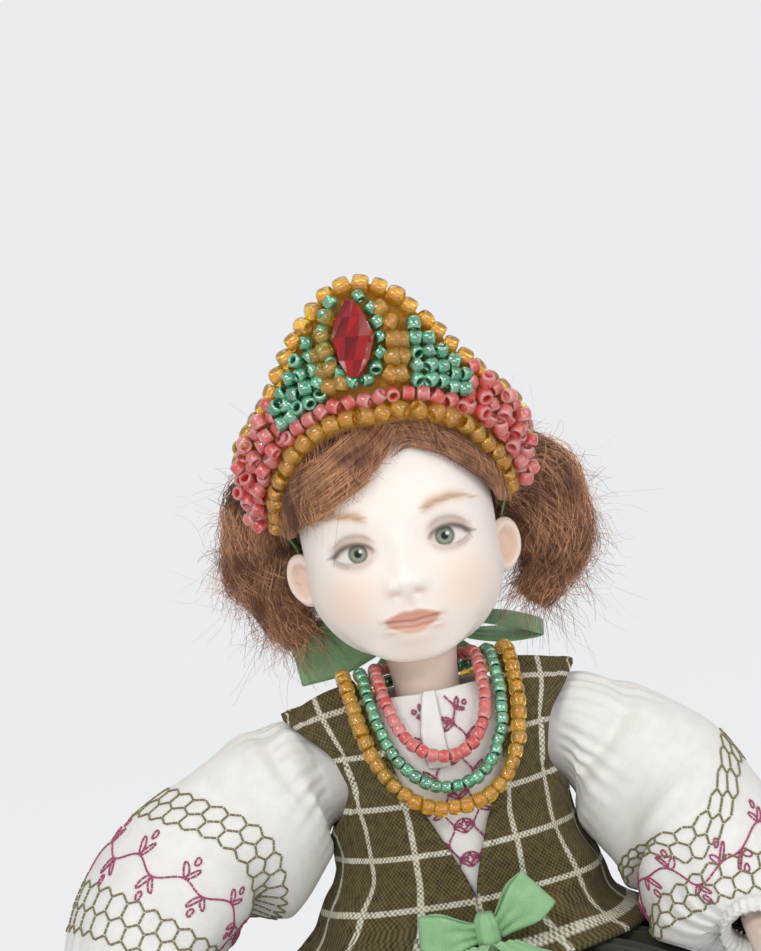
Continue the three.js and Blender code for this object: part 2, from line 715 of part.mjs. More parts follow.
// A bow: knot, two loops and two tails about a centre, facing out along a direction
function buildBow(group, prefix, centre, out, width, loops, tails, puff) {
  const knotSize = 0.42 * width;
  const knotRing = (s, k) =>
    ringRound([centre.clone().add(V(0, 0, s * knotSize)), V(1, 0, 0), out], k, 8);
  piece(
    group,
    `${prefix}_knot`,
    loft([knotRing(-1, 1.2), knotRing(-0.5, 1.9), knotRing(0.5, 1.9), knotRing(1, 1.2)]),
    GREEN_RIBBON,
  );
  for (const [side, sign] of SIDES) {
    const root = centre.clone().add(V(sign * 2.8, 0, 0));
    const tip = centre.clone().add(loops[side]);
    piece(group, `${prefix}_${side}_loop`, bowLoop(root, tip, width, puff, out), GREEN_RIBBON);
    const path = smoothPath(tails[side].map((p) => centre.clone().add(p)), TAIL_STEPS);
    const widths = path.map((_, i) => lerp(0.5, 0.95, i / TAIL_STEPS) * width);
    const tail = ribbon(path, widths, path.map(() => V(1, 0, 0)));
    piece(group, `${prefix}_${side}_tail`, tail, GREEN_RIBBON);
  }
}

const ARM_ELASTIC_REACH = SHOULDER_X + 0.8; // its knots lie inside the arms' balls

// Stringing: elastic down the neck and across the shoulders, each knotted at both ends
function buildStringing() {
  const knotTop = NECK_PIVOT + NECK_BEAD_RADIUS + 2.6 * KNOT_RADIUS;
  const knotFoot = PEG_IN_FIGURE + GAP;
  const knot = (z) => arc(KNOT_RADIUS, -90, 90, 4, z).filter(([r]) => r > 0);
  const low = knotFoot + KNOT_RADIUS;
  const high = knotTop - KNOT_RADIUS;
  const profile = [
    [0, knotFoot],
    ...knot(low).slice(1, -1),
    [ELASTIC_RADIUS, low + KNOT_RADIUS],
    [ELASTIC_RADIUS, high - KNOT_RADIUS],
    ...knot(high).slice(1, -1),
    [0, knotTop],
  ];
  piece(figure, "neck_elastic", turned(profile, 8), ELASTIC);
  const half = [
    [0, -ARM_ELASTIC_REACH],
    [KNOT_RADIUS * 0.8, 0.7 - ARM_ELASTIC_REACH],
    [KNOT_RADIUS * 0.8, 1.9 - ARM_ELASTIC_REACH],
    [ELASTIC_RADIUS, 2.6 - ARM_ELASTIC_REACH],
  ];
  const mirrored = half.map(([r, z]) => [r, -z]).reverse();
  const across = turned([...half, ...mirrored], 8).rotateY(Math.PI / 2);
  piece(figure, "arm_elastic", across.translate(0, SHOULDER_Y, SHOULDER_HEIGHT), ELASTIC);
  const inside = NECK_RADIUS + GAP;
  const outside = inside + LINER_WALL;
  const hole = 3 * ELASTIC_RADIUS;
  const opening = (r) => (Math.acos(hole / r) * 180) / Math.PI;
  const liner = [...arc(outside, -opening(outside), -6, 5), ...arc(inside, -6, -opening(inside), 5)];
  piece(head, "neck_liner", turned([...liner, liner[0]], 14), KID_LEATHER);
  const drill = ELASTIC_RADIUS + 0.6;
  const end = (Math.acos(drill / NECK_BEAD_RADIUS) * 180) / Math.PI;
  const bead = arc(NECK_BEAD_RADIUS, -end, end, 6);
  piece(head, "neck_bead", turned([...bead, bead[0]], 12), BEECH);
}

// Head: a squared ellipsoid with a modelled face, hollow and open at the pate
function headRadius(d) {
  const share = (value, half) => (Math.abs(value) / half) ** HEAD_SQUARENESS;
  const sum =
    share(d.x, HEAD_HALF_WIDTH) +
    share(d.y, d.y < 0 ? HEAD_HALF_FRONT : HEAD_HALF_BACK) +
    share(d.z, d.z > 0 ? HEAD_HALF_TOP : HEAD_HALF_CHIN);
  return sum ** (-1 / HEAD_SQUARENESS);
}

// How far the face stands out of the plain form at X and at a height above the head's centre
function faceRelief(x, z) {
  const side = Math.abs(x);
  const nose = (3.3 * bell(z, -7.6, 1.9) + 1.5 * bell(z, -3.6, 3.2)) * bell(x, 0, 1.9);
  const nostrils = 1.2 * bell(side, 2.4, 1.1) * bell(z, -8.4, 1.2);
  const sockets = -1.5 * bell(side, 6.6, 4) * bell(z, -2.6, 2.7);
  const eyes = 0.9 * bell(side, 7, 2.9) * bell(z, -3, 1.8);
  const brows = 0.5 * bell(side, 7, 4) * bell(z, 2.2, 1.6);
  const cheeks = 0.9 * bell(side, 8, 4.5) * bell(z, -11, 4.5);
  const mouth = 0.9 * bell(x, 0, 5) * bell(z, -15, 4);
  const lips = 0.8 * bell(x, 0, 3.5) * bell(z, -14.4, 0.9) + 1 * bell(x, 0, 3) * bell(z, -16.7, 1);
  const chin = 1 * bell(x, 0, 3.6) * bell(z, -20, 2.4);
  return nose + nostrils + sockets + eyes + brows + cheeks + mouth + lips + chin;
}

function headPoint(azimuth, polar, lift = 0, face = true) {
  const d = V(Math.sin(polar) * Math.sin(azimuth), -Math.sin(polar) * Math.cos(azimuth), Math.cos(polar));
  const p = d.clone().multiplyScalar(headRadius(d) + lift);
  if (face) {
    const { x, y, z } = p;
    p.x *= 1 + JAW_FULLNESS * smoothstep(-z, 5, 16) * smoothstep(-y, -6, 2) * (1 - smoothstep(-z, 17, 21));
    p.y -= smoothstep(-y, 3, 11) * faceRelief(x, z);
    p.z -= CHIN_DROP * smoothstep(-y, 5, 12) * smoothstep(-z, 8, 18);
  }
  return p.add(HEAD_CENTRE);
}

function facePolars() {
  const spans = [[6, 60, 5], [60, 92, 5], [92, 150, 16], [150, 176, 2]];
  const polars = spans.flatMap(([from, to, n]) =>
    Array.from({ length: n }, (_, i) => lerp(from, to, i / n)),
  );
  return [...polars, 176].map(degToRad);
}

function buildHead() {
  const columns = 30;
  const azimuth = (j) => {
    const s = (2 * j) / columns - 1;
    return Math.PI * (0.4 * s + 0.6 * s ** 3);
  };
  const rings = facePolars().map((polar) =>
    Array.from({ length: columns }, (_, j) => headPoint(azimuth(j), polar)),
  );
  const skull = loft(rings);
  const neck = turned([
    ...arc(NECK_RADIUS, -90, 0, 5),
    [NECK_RADIUS, 4],
    [NECK_RADIUS + 0.4, 8.5],
    [NECK_RADIUS + 2, 13],
    [0, 16],
  ], 12);
  const ears = [-1, 1].map((s) =>
    new THREE.SphereGeometry(1, 8, 6)
      .scale(2.9, 1.7, EAR_HEIGHT / 2)
      .rotateZ(s * degToRad(28))
      .rotateY(s * degToRad(8))
      .translate(s * (HEAD_HALF_WIDTH + 0.7), HEAD_CENTRE.y + 1, HEAD_CENTRE.z - 6.3),
  );
  const hollow = new THREE.SphereGeometry(1, 14, 10)
    .scale(HEAD_HALF_WIDTH - HEAD_WALL, HEAD_HALF_FRONT - HEAD_WALL, HEAD_HALF_TOP - HEAD_WALL)
    .translate(HEAD_CENTRE.x, HEAD_CENTRE.y, HEAD_CENTRE.z);
  const pate = rodAlongZ(PATE_RADIUS, HEAD_CENTRE.z + 8, HEAD_CENTRE.z + HEAD_HALF_TOP + 5, 16);
  const seat = NECK_BEAD_RADIUS + GAP;
  const bore = rodAlongZ(seat, 0, HEAD_CENTRE.z - 12, 12);
  const drill = rodAlongZ(ELASTIC_RADIUS + 1, -NECK_RADIUS - 1, 0, 10);
  const solid = cut(joined(skull, neck, ...ears), hollow, pate, ball(seat, V(0, 0, 0), 12, 8), bore, drill);
  piece(head, "head", solid, PORCELAIN);
}

// Wig: a cap of mohair from the hairline round to the nape, and a puff of curls over each ear
const HAIRLINE = [
  [0, 50],
  [25, 61],
  [48, 71],
  [72, 79],
  [90, 75],
  [108, 76],
  [128, 106],
  [148, 124],
  [180, 128],
];

function hairThickness(azimuth, polar) {
  const behind = smoothstep(azimuth, degToRad(85), degToRad(150));
  const full = smoothstep(polar, degToRad(20), degToRad(90));
  return lerp(HAIR_FRONT, HAIR_BACK, behind * full);
}

function wigRings(columns, steps, lift) {
  return steps.map((s) =>
    Array.from({ length: columns }, (_, j) => {
      const azimuth = (2 * Math.PI * j) / columns - Math.PI;
      const turn = Math.abs(azimuth);
      const polar = degToRad(lerp(3, keyed(HAIRLINE, 1, (turn * 180) / Math.PI), s));
      return headPoint(azimuth, polar, lift(turn, polar, s), false);
    }),
  );
}

const WIG_STEPS = [0, 0.17, 0.34, 0.51, 0.68, 0.85, 1];
const rounded = (s) => (s > 0.95 ? 0.55 : 1); // the wig's edge is thinner than its body

const WIG_COLUMNS = 20;

// Outside of the wig, or of the room that it needs when a clearance is given
function wigOuter(clearance = 0) {
  const steps = WIG_STEPS.map((s) => s * (1 + 0.1 * clearance));
  const lift = (turn, polar, s) => HAIR_LIFT + clearance + hairThickness(turn, polar) * rounded(s);
  return wigRings(WIG_COLUMNS, steps, lift);
}

function wigInner() {
  return wigRings(WIG_COLUMNS, WIG_STEPS, () => HAIR_LIFT);
}

// Puffs of curls: how far each point stands out from the head's side, its Y, its height and its radius
const PUFFS = {
  right: [
    [-1.6, 13, 38.5, 3],
    [4.4, 12.5, 35, 5],
    [7.4, 11, 28, 5.4],
    [6.4, 11, 21, 4.8],
    [4.4, 11.5, 15.5, 3.4],
    [2.9, 12, 12.6, 1.8],
  ],
  left: [
    [-1.6, 13, 38.5, 3],
    [4.4, 12.5, 34.5, 4.8],
    [8.8, 11, 28, 5.4],
    [8.8, 11, 21.5, 5.2],
    [6, 11.5, 16, 3.8],
    [3.2, 12, 12.8, 2],
  ],
};

function buildWig() {
  piece(head, "wig_cap", cap(wigOuter(), wigInner()), MOHAIR);
  const keepOut = loft(wigOuter(1.5 * GAP));
  for (const [side, sign] of SIDES) {
    const line = PUFFS[side].map(([out, y, z]) => V(sign * (HEAD_HALF_WIDTH + out), y, z));
    const puff = bar(line, PUFFS[side].map(([, , , radius]) => radius), 9, V(0, 1, 0));
    piece(head, `hair_${side}_puff`, cut(puff, keepOut), MOHAIR);
  }
}

// Headdress: a stiff crescent over the brow, by an angle along its arch and a width up from its lower edge
const CROWN_FRONT = V(0, -0.7, 0.714);

function crownWidth(angle) {
  const a = Math.abs(angle) * (180 / Math.PI);
  const fan = (CROWN_HEIGHT - 6.2) * bell(a, 0, 32) + 6.2 + 3 * bell(a, 66, 17);
  return fan * (1 - (a / 96) ** 10);
}

function crownPoint(angle, width, forward = 0) {
  const place = (a, w) => {
    const aside = Math.abs(Math.sin(a));
    const temple = V(0.98 * Math.sin(a), 0.05 * aside, 0.06 * aside);
    const d = CROWN_FRONT.clone().multiplyScalar(Math.cos(a)).add(temple).normalize();
    const foot = d.clone().multiplyScalar(headRadius(d) + CROWN_LIFT).add(HEAD_CENTRE);
    const lean = Math.sin(a) * Math.abs(Math.sin(a)) ** 0.3;
    const up = V(0.52 * lean, 0.1, 1 - 0.45 * Math.sin(a) ** 2).normalize();
    return foot.addScaledVector(up, w);
  };
  const p = place(angle, width);
  if (!forward) return p;
  const along = place(angle + 0.02, width).sub(place(angle - 0.02, width));
  const up = place(angle, width + 0.1).sub(p);
  return p.addScaledVector(up.cross(along).normalize(), -forward);
}

// Curve on the headdress's face through [angle in degrees, width], at the height of a bead lying on it
function crownCurve(places, radius) {
  const forward = CROWN_THICKNESS / 2 + radius + 0.1;
  const points = places.map(([a, w]) => crownPoint(degToRad(a), w, forward));
  return new THREE.CatmullRomCurve3(points, false, "centripetal");
}

function crownRow(name, places, radius, look) {
  const curve = crownCurve(places, radius);
  const count = Math.max(2, Math.round(curve.getLength() / (2 * radius + BEAD_SPACING)));
  piece(head, name, strand(beadsOn(curve, count, radius), V(0, -1, 0.1)), look);
}

// Rows side by side on one thread: each row is [angle, from width, to width], worked up and down in turn
function crownBlock(name, rows, radius, look) {
  const stations = rows.flatMap(([angle, from, to], i) => {
    const ends = i % 2 ? [to, from] : [from, to];
    const curve = crownCurve(ends.map((w) => [angle, w]), radius);
    const count = Math.max(1, Math.round(Math.abs(to - from) / (2 * radius + BEAD_SPACING)));
    return beadsOn(curve, count, radius);
  });
  piece(head, name, strand(stations, V(0, -1, 0.1)), look);
}

function every(from, to, step) {
  return Array.from({ length: Math.round((to - from) / step) + 1 }, (_, i) => from + i * step);
}

function buildCrown() {
  const grid = every(-88, 88, 8).map((degrees) => {
    const a = degToRad(degrees);
    return [0, 1 / 3, 2 / 3, 1].map((s) => crownPoint(a, s * crownWidth(a)));
  });
  piece(head, "crown_backing", sheet(grid, CROWN_THICKNESS), FELT);
  const baseWidth = AMBER_BEAD + 0.1;
  const pinkWidth = baseWidth + AMBER_BEAD + SEED_BEAD + 0.1;
  crownRow("crown_base_amber", every(-80, 80, 10).map((a) => [a, baseWidth]), AMBER_BEAD, AMBER_GLASS);
  crownRow("crown_row_pink", every(-40, 40, 8).map((a) => [a, pinkWidth]), SEED_BEAD, PINK_GLASS);
  crownRow(
    "crown_edge_amber",
    every(-76, 76, 8).map((a) => [a, crownWidth(degToRad(a)) - AMBER_BEAD]),
    AMBER_BEAD,
    AMBER_GLASS,
  );
  const ringHeight = CRYSTAL_HEIGHT / 2 + SEED_BEAD + 0.2;
  const gemWidth = pinkWidth + 2 * SEED_BEAD + 0.15 + ringHeight;
  const ring = every(-110, 110, 20).map((a) => [
    15.5 * Math.sin(degToRad(a)),
    gemWidth - ringHeight * Math.cos(degToRad(a)),
  ]);
  crownRow("crown_ring_green", ring, SEED_BEAD, GREEN_GLASS);
  for (const [side, sign] of SIDES) {
    const low = pinkWidth + SEED_BEAD + 0.15;
    const high = (a) => crownWidth(degToRad(a)) - 2 * AMBER_BEAD - 0.6;
    const column = [[sign * 22, low], [sign * 22, 10.5], [sign * 21, high(21)]];
    crownRow(`crown_${side}_amber`, column, SEED_BEAD, AMBER_GLASS);
    crownBlock(
      `crown_${side}_green`,
      [28, 34, 40].map((a) => [sign * a, low, high(a)]),
      SEED_BEAD,
      GREEN_GLASS,
    );
    crownBlock(
      `crown_${side}_pink`,
      [46.5, 52.5, 58.5, 64.5, 70.5, 76.5].map((a) => [sign * a, baseWidth + AMBER_BEAD + 0.35, high(a)]),
      SEED_BEAD,
      PINK_GLASS,
    );
  }
  const seat = crownPoint(0, gemWidth, CROWN_THICKNESS / 2 + GAP);
  const crystal = new THREE.CylinderGeometry(CRYSTAL_WIDTH * 0.18, CRYSTAL_WIDTH / 2, CRYSTAL_HEIGHT / 2, 8)
    .translate(0, CRYSTAL_HEIGHT / 4, 0);
  const lower = crystal.clone().rotateX(Math.PI);
  const gem = joined(crystal, lower).scale(1, 1, CRYSTAL_DEPTH / CRYSTAL_WIDTH).rotateX(Math.PI / 2);
  piece(head, "crown_crystal", gem.translate(seat.x, seat.y - CRYSTAL_DEPTH / 2, seat.z), RED_CRYSTAL);
}

// Headdress ties: green ribbon from each end, down behind the ear to a bow at the nape
const NAPE = V(0, HEAD_HALF_BACK - 1.6, 11);
const TIE = [
  [HEAD_HALF_WIDTH + 2.5, 5, 30.8],
  [HEAD_HALF_WIDTH + 1.2, 7.8, 27.4],
  [HEAD_HALF_WIDTH + 0.3, 9.8, 22],
  [HEAD_HALF_WIDTH - 2, 12, 15.6],
  [9, HEAD_HALF_BACK - 5, 11.2],
  [3.2, HEAD_HALF_BACK - 4.2, 10.4],
];

function tieSheet(sign) {
  const path = smoothPath(TIE.map(([x, y, z]) => V(sign * x, y, z)), 7);
  const across = path.map((p, i) => {
    const down = smoothstep(i, 3, 6);
    return V(0, 1 - down, down).normalize();
  });
  return ribbon(path, path.map(() => TIE_WIDTH), across);
}

function buildTies() {
  piece(head, "crown_right_tie", tieSheet(-1), GREEN_RIBBON);
  piece(head, "crown_left_tie", tieSheet(1), GREEN_RIBBON);
  buildBow(
    head,
    "nape_bow",
    NAPE,
    V(0, 1, 0),
    5.5,
    { right: V(-17, -1, -0.4), left: V(17.5, -1, 0.6) },
    {
      right: [V(-1.7, 2.5, -1), V(-3.4, 3.6, -3), V(-5.6, 4.6, -6)],
      left: [V(1.7, 2.5, -1), V(3.4, 3.6, -3), V(5.4, 4.6, -5.6)],
    },
    1.6,
  );
}

// Arms: centre line from the shoulder to the wrist, and the way the hand points, all from the shoulder
const ARMS = {
  right: {
    sign: -1,
    line: [
      [0, 0, 0],
      [-5.2, -0.5, -0.9],
      [-15.4, -4, -6.2],
      [-26.4, -8, -13.2],
      [-33, -10.5, -21.2],
      [-36.6, -12, -29.6],
    ],
    hand: [-1.2, -2.4, -9],
  },
  left: {
    sign: 1,
    line: [
      [0, 0, 0],
      [5.4, -1, -0.6],
      [15.4, -5, -7.4],
      [22.9, -13, -16.4],
      [23.6, -23.5, -24.4],
      [21.4, -32, -29.9],
    ],
    hand: [-1, -8.4, -3.4],
  },
};

// The sleeve's radius along the arm
const SLEEVE_SHAPE = [
  [0, SLEEVE_HEAD_RADIUS],
  [0.02, SLEEVE_HEAD_RADIUS],
  [0.05, 9.2],
  [0.085, 11.5],
  [0.16, 12.8],
  [0.42, 14],
  [0.66, 13.4],
  [0.86, 9.8],
  [1, WRIST_RADIUS + CUFF_WALL + 0.6],
];
const SLEEVE_STATIONS = [0.015, 0.05, 0.085, 0.15, 0.28, 0.44, 0.62, 0.79, 0.91, 0.985];
const ARM_STEPS = 9;

// Fingers from the little one: place across the palm and length
const FINGERS = [
  [-2.3, 5],
  [-0.8, 6],
  [0.7, 6.2],
  [2.2, 5.4],
];

function buildArm(side) {
  const { sign, line, hand } = ARMS[side];
  const shoulder = shoulderAt(sign);
  const path = smoothPath(line.map((p) => V(...p).add(shoulder)), ARM_STEPS);
  const wrist = path.at(-1);
  const reach = V(...hand);
  const limb = bar(path, path.map((_, i) => lerp(ARM_RADIUS, WRIST_RADIUS, i / ARM_STEPS)), 8, V(0, 1, 0));
  const direction = reach.clone().normalize();
  const thumbWay = V(0, -1, 0).addScaledVector(direction, direction.y).normalize();
  const flat = direction.clone().cross(thumbWay);
  const palmRing = (s, wide, thick) =>
    Array.from({ length: 8 }, (_, j) => {
      const a = (2 * Math.PI * j) / 8;
      return wrist
        .clone()
        .addScaledVector(direction, s)
        .addScaledVector(thumbWay, wide * Math.cos(a))
        .addScaledVector(flat, thick * Math.sin(a));
    });
  const palm = loft([
    palmRing(-1, WRIST_RADIUS, WRIST_RADIUS),
    palmRing(5, 2.6, 2),
    palmRing(9, 3.4, 1.7),
    palmRing(11, 3, 1.3),
  ]);
  const finger = (offset, from, length, lean, thick) => {
    const root = wrist.clone().addScaledVector(direction, from).addScaledVector(thumbWay, offset);
    const way = direction.clone().addScaledVector(thumbWay, lean).addScaledVector(flat, 0.12).normalize();
    const joints = [0, 0.55, 1].map((s) => root.clone().addScaledVector(way, s * length));
    return bar(joints, [thick, thick * 0.9, thick * 0.5], 5, flat);
  };
  const fingers = FINGERS.map(([offset, length], i) => finger(offset, 9.6, length, 0.06 * (i - 1.5), 0.82));
  const thumb = finger(2.1, 5.4, 5.6, 0.75, 0.9);
  const knotEnds = [SHOULDER_X - ARM_BALL_RADIUS - 1, ARM_ELASTIC_REACH + 2 * GAP].map((x) => sign * x);
  const [from, to] = [Math.min(...knotEnds), Math.max(...knotEnds)];
  const knotHole = rodAlongX(KNOT_RADIUS + GAP, from, to, SHOULDER_Y, SHOULDER_HEIGHT, 8);
  const arm = cut(joined(ball(ARM_BALL_RADIUS, shoulder, 10, 6), limb, palm, ...fingers, thumb), knotHole);
  piece(figure, `${side}_arm`, arm, PORCELAIN);
  buildSleeve(side, path);
}

// Puffed sleeve: gathered into the armhole and the cuff, its folds deepest near both
function buildSleeve(side, path) {
  const sides = 3 * SLEEVE_FOLDS;
  const curve = new THREE.CatmullRomCurve3(path, false, "centripetal");
  const along = [0, ...SLEEVE_STATIONS, 1].map((s) => curve.getPointAt(s));
  const frames = framesAlong(along, V(0, 1, 0)).slice(1, -1);
  const rings = (inward) =>
    frames.map((f, i) => {
      const s = SLEEVE_STATIONS[i];
      const radius = keyed(SLEEVE_SHAPE, 1, s) - inward;
      const gather = s < 0.1 ? 0 : 0.07 * (bell(s, 0.2, 0.13) + bell(s, 0.9, 0.16) + 0.25);
      return ringRound(f, (a) => radius * (1 + gather * Math.cos(SLEEVE_FOLDS * a + 3 * s)), sides);
    });
  piece(figure, `${side}_sleeve`, shell(rings(0), rings(SLEEVE_WALL)), WHITE_BATISTE);
  const wrist = path.at(-1);
  const outward = wrist.clone().sub(path.at(-2)).normalize();
  const cuffFrames = framesAlong(
    [GAP, CUFF_LENGTH / 2, CUFF_LENGTH].map((s) => wrist.clone().addScaledVector(outward, s)),
    V(0, 1, 0),
  );
  const inside = WRIST_RADIUS + GAP + 1.1;
  const bulge = [0, 0.35, 0];
  const cuffOuter = cuffFrames.map((f, i) => ringRound(f, inside + CUFF_WALL + bulge[i], 10));
  const cuffInner = cuffFrames.map((f) => ringRound(f, inside, 10));
  piece(figure, `${side}_cuff`, shell(cuffOuter, cuffInner), WHITE_BATISTE);
}

buildSkirt();
buildHalfBody();
buildBlouse();
buildVest();
buildNecklaces();
buildBow(
  figure,
  "vest_bow",
  V(0, -22.4, 4.6),
  V(0, -1, 0),
  RIBBON_WIDTH,
  { right: V(-10.8, -1, 1.2), left: V(10, -1, 4.6) },
  {
    right: [V(-2.1, -2.4, -1.6), V(-4, -4.4, -3), V(-6.8, -7.6, -4.4)],
    left: [V(2.1, -2.4, -1.6), V(4.2, -4.4, -3), V(7.2, -7, -4.4)],
  },
  1.7,
);
buildStringing();
buildHead();
buildWig();
buildCrown();
buildTies();
buildArm("right");
buildArm("left");

export default doll;
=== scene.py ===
"""Looks of a porcelain pincushion doll in folk dress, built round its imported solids.

Points are worked out in millimetres and become metres when a mesh is made. Right and left are the doll's own.
"""
import math

import bmesh
import bpy
import numpy as np
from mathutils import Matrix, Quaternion, Vector


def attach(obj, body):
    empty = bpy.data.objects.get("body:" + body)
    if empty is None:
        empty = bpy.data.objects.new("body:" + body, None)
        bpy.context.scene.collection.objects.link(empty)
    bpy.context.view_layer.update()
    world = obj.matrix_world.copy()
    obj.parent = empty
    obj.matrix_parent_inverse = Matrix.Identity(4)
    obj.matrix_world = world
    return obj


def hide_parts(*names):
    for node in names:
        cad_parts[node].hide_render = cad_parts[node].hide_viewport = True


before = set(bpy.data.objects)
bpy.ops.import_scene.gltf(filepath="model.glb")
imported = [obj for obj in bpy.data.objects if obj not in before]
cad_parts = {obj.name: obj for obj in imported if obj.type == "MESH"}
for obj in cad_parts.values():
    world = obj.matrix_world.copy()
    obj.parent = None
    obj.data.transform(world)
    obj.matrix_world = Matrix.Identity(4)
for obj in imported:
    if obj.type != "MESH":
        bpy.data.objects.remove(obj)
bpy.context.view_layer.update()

MM = 0.001
SIDES = (("right", -1), ("left", 1))
chance = np.random.default_rng(12)

# Places of the figure and of the head in the frame
SKIRT_TOP = 57.3
NECK_PIVOT = 37.7
HEAD_TURN = math.radians(-7)


def in_figure(points):
    return np.asarray(points, float) + (0, 0, SKIRT_TOP)


def in_head(points):
    x, y, z = np.moveaxis(np.asarray(points, float), -1, 0)
    c, s = math.cos(HEAD_TURN), math.sin(HEAD_TURN)
    return np.stack([c * x - s * y, s * x + c * y, z + SKIRT_TOP + NECK_PIVOT], -1)


# Shapes
def smoothstep(value, low, high):
    t = np.clip((value - low) / (high - low), 0, 1)
    return t * t * (3 - 2 * t)


def bell(value, centre, spread):
    return np.exp(-(((value - centre) / spread) ** 2))


def mix(a, b, t):
    return a + (b - a) * t


def unit(v):
    v = np.asarray(v, float)
    return v / np.maximum(np.linalg.norm(v, axis=-1, keepdims=True), 1e-9)


def full_turn(count):
    """Angles at even steps once round."""
    return np.linspace(0, 2 * np.pi, count, endpoint=False)


def angle_from(angle, degrees):
    """Degrees from one place round a limb to angles in radians, at most half a turn either way."""
    return (np.degrees(angle) - degrees + 180) % 360 - 180


def keyed(keys, column, t):
    """Smooth curve through keys (t, value, value...), read in one column."""
    table = np.array(keys, float)
    place, value = table[:, 0], table[:, column]
    order = np.arange(len(place))
    before, after = np.maximum(order - 1, 0), np.minimum(order + 1, len(place) - 1)
    slope = (value[after] - value[before]) / (place[after] - place[before])
    i = np.clip(np.searchsorted(place, t) - 1, 0, len(place) - 2)
    span = place[i + 1] - place[i]
    s = np.clip((t - place[i]) / span, 0, 1)
    base = mix(value[i], value[i + 1], s * s * (3 - 2 * s))
    return base + s * (1 - s) * span * ((1 - s) * slope[i] - s * slope[i + 1])


def spaced(points, count, closed=False):
    """Points at even steps along a line of points."""
    line = np.vstack([points, points[:1]]) if closed else np.asarray(points, float)
    along = np.concatenate([[0], np.cumsum(np.linalg.norm(np.diff(line, axis=0), axis=1))])
    at = np.linspace(0, along[-1], count, endpoint=not closed)
    return np.stack([np.interp(at, along, line[:, k]) for k in range(3)], -1)


def smooth_path(points, count, closed=False):
    """Centripetal curve through points, at even steps."""
    points = np.asarray(points, float)
    if closed:
        line = np.vstack([points[-1:], points, points[:2]])
    else:
        line = np.vstack([2 * points[:1] - points[1:2], points, 2 * points[-1:] - points[-2:-1]])
    s = np.linspace(0, 1, 20, endpoint=False)[:, None]
    spans = []
    for a, b, c, d in zip(line, line[1:], line[2:], line[3:]):
        ab, bc, cd = (max(np.linalg.norm(q - p), 1e-6) ** 0.5 for p, q in ((a, b), (b, c), (c, d)))
        leave = bc * ((b - a) / ab - (c - a) / (ab + bc) + (c - b) / bc)
        reach = bc * ((c - b) / bc - (d - b) / (bc + cd) + (d - c) / cd)
        straight = b * (1 + 2 * s) * (1 - s) ** 2 + c * s * s * (3 - 2 * s)
        spans.append(straight + leave * s * (1 - s) ** 2 - reach * s * s * (1 - s))
    dense = np.vstack(spans) if closed else np.vstack([*spans, points[-1:]])
    return spaced(dense, count, closed)


def frames_along(path, first_up):
    """Side and up directions carried along a path without twisting."""
    tangent = unit(np.gradient(path, axis=0))
    up, ups = np.asarray(first_up, float), []
    for t in tangent:
        up = unit(up - t * np.dot(up, t))
        ups.append(up)
    ups = np.array(ups)
    return np.cross(tangent, ups), ups


# Meshes
def grid_quads(rows, columns, wrap=False):
    """Quads between neighbouring rows of points; wrap joins the last column to the first."""
    i, j = np.meshgrid(np.arange(rows - 1), np.arange(columns if wrap else columns - 1), indexing="ij")
    a = i * columns + j
    b = i * columns + (j + 1) % columns
    return np.stack([a, b, b + columns, a + columns], -1).reshape(-1, 4)


def tube_faces(rows, columns):
    """Faces of a tube of rings with a cap at each end."""
    ends = np.arange(columns)
    return [grid_quads(rows, columns, wrap=True), ends[None, ::-1], (rows - 1) * columns + ends[None]]


def rim_quads(first, columns, total):
    """Quads from one ring of an outer skin to the same ring of an inner skin, total points later."""
    ring = first + np.arange(columns)
    after = np.roll(ring, -1)
    return np.stack([ring, after, total + after, total + ring], -1)


def cloth_at(across, up):
    """Places on the flat cloth for a grid of points."""
    across, up = np.broadcast_arrays(np.asarray(across, float), np.asarray(up, float))
    return np.stack([across, up, np.zeros(across.shape)], -1)


def make_piece(name, points, faces, look, body, slot, replaces=(), smooth=True, marks=None):
    """A piece from points in millimetres and arrays of faces; marks are values kept at its points."""
    mesh = bpy.data.meshes.new(name)
    points = np.asarray(points, np.float32).reshape(-1, 3) * MM
    sizes = np.concatenate([np.full(len(f), f.shape[1]) for f in faces])
    corners = np.concatenate([f.ravel() for f in faces]).astype(np.int32)
    mesh.vertices.add(len(points))
    mesh.vertices.foreach_set("co", points.ravel())
    mesh.loops.add(len(corners))
    mesh.loops.foreach_set("vertex_index", corners)
    mesh.polygons.add(len(sizes))
    mesh.polygons.foreach_set("loop_start", (np.cumsum(sizes) - sizes).astype(np.int32))
    mesh.update(calc_edges=True)
    for mark, values in (marks or {}).items():
        values = np.asarray(values, np.float32)
        kind, field = ("FLOAT", "value") if values.ndim == 1 else ("FLOAT_VECTOR", "vector")
        mesh.attributes.new(mark, kind, "POINT").data.foreach_set(field, values.ravel())
    work = bmesh.new()
    work.from_mesh(mesh)
    bmesh.ops.recalc_face_normals(work, faces=work.faces)
    work.to_mesh(mesh)
    work.free()
    mesh.polygons.foreach_set("use_smooth", np.full(len(mesh.polygons), smooth))
    mesh.materials.append(look)
    made = bpy.data.objects.new(name, mesh)
    bpy.context.scene.collection.objects.link(made)
    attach(made, body)
    if replaces:
        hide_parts(*replaces)
    return made


def grid_normals(grid):
    across = np.gradient(grid, axis=1)
    along = np.gradient(grid, axis=0)
    return unit(np.cross(across, along))


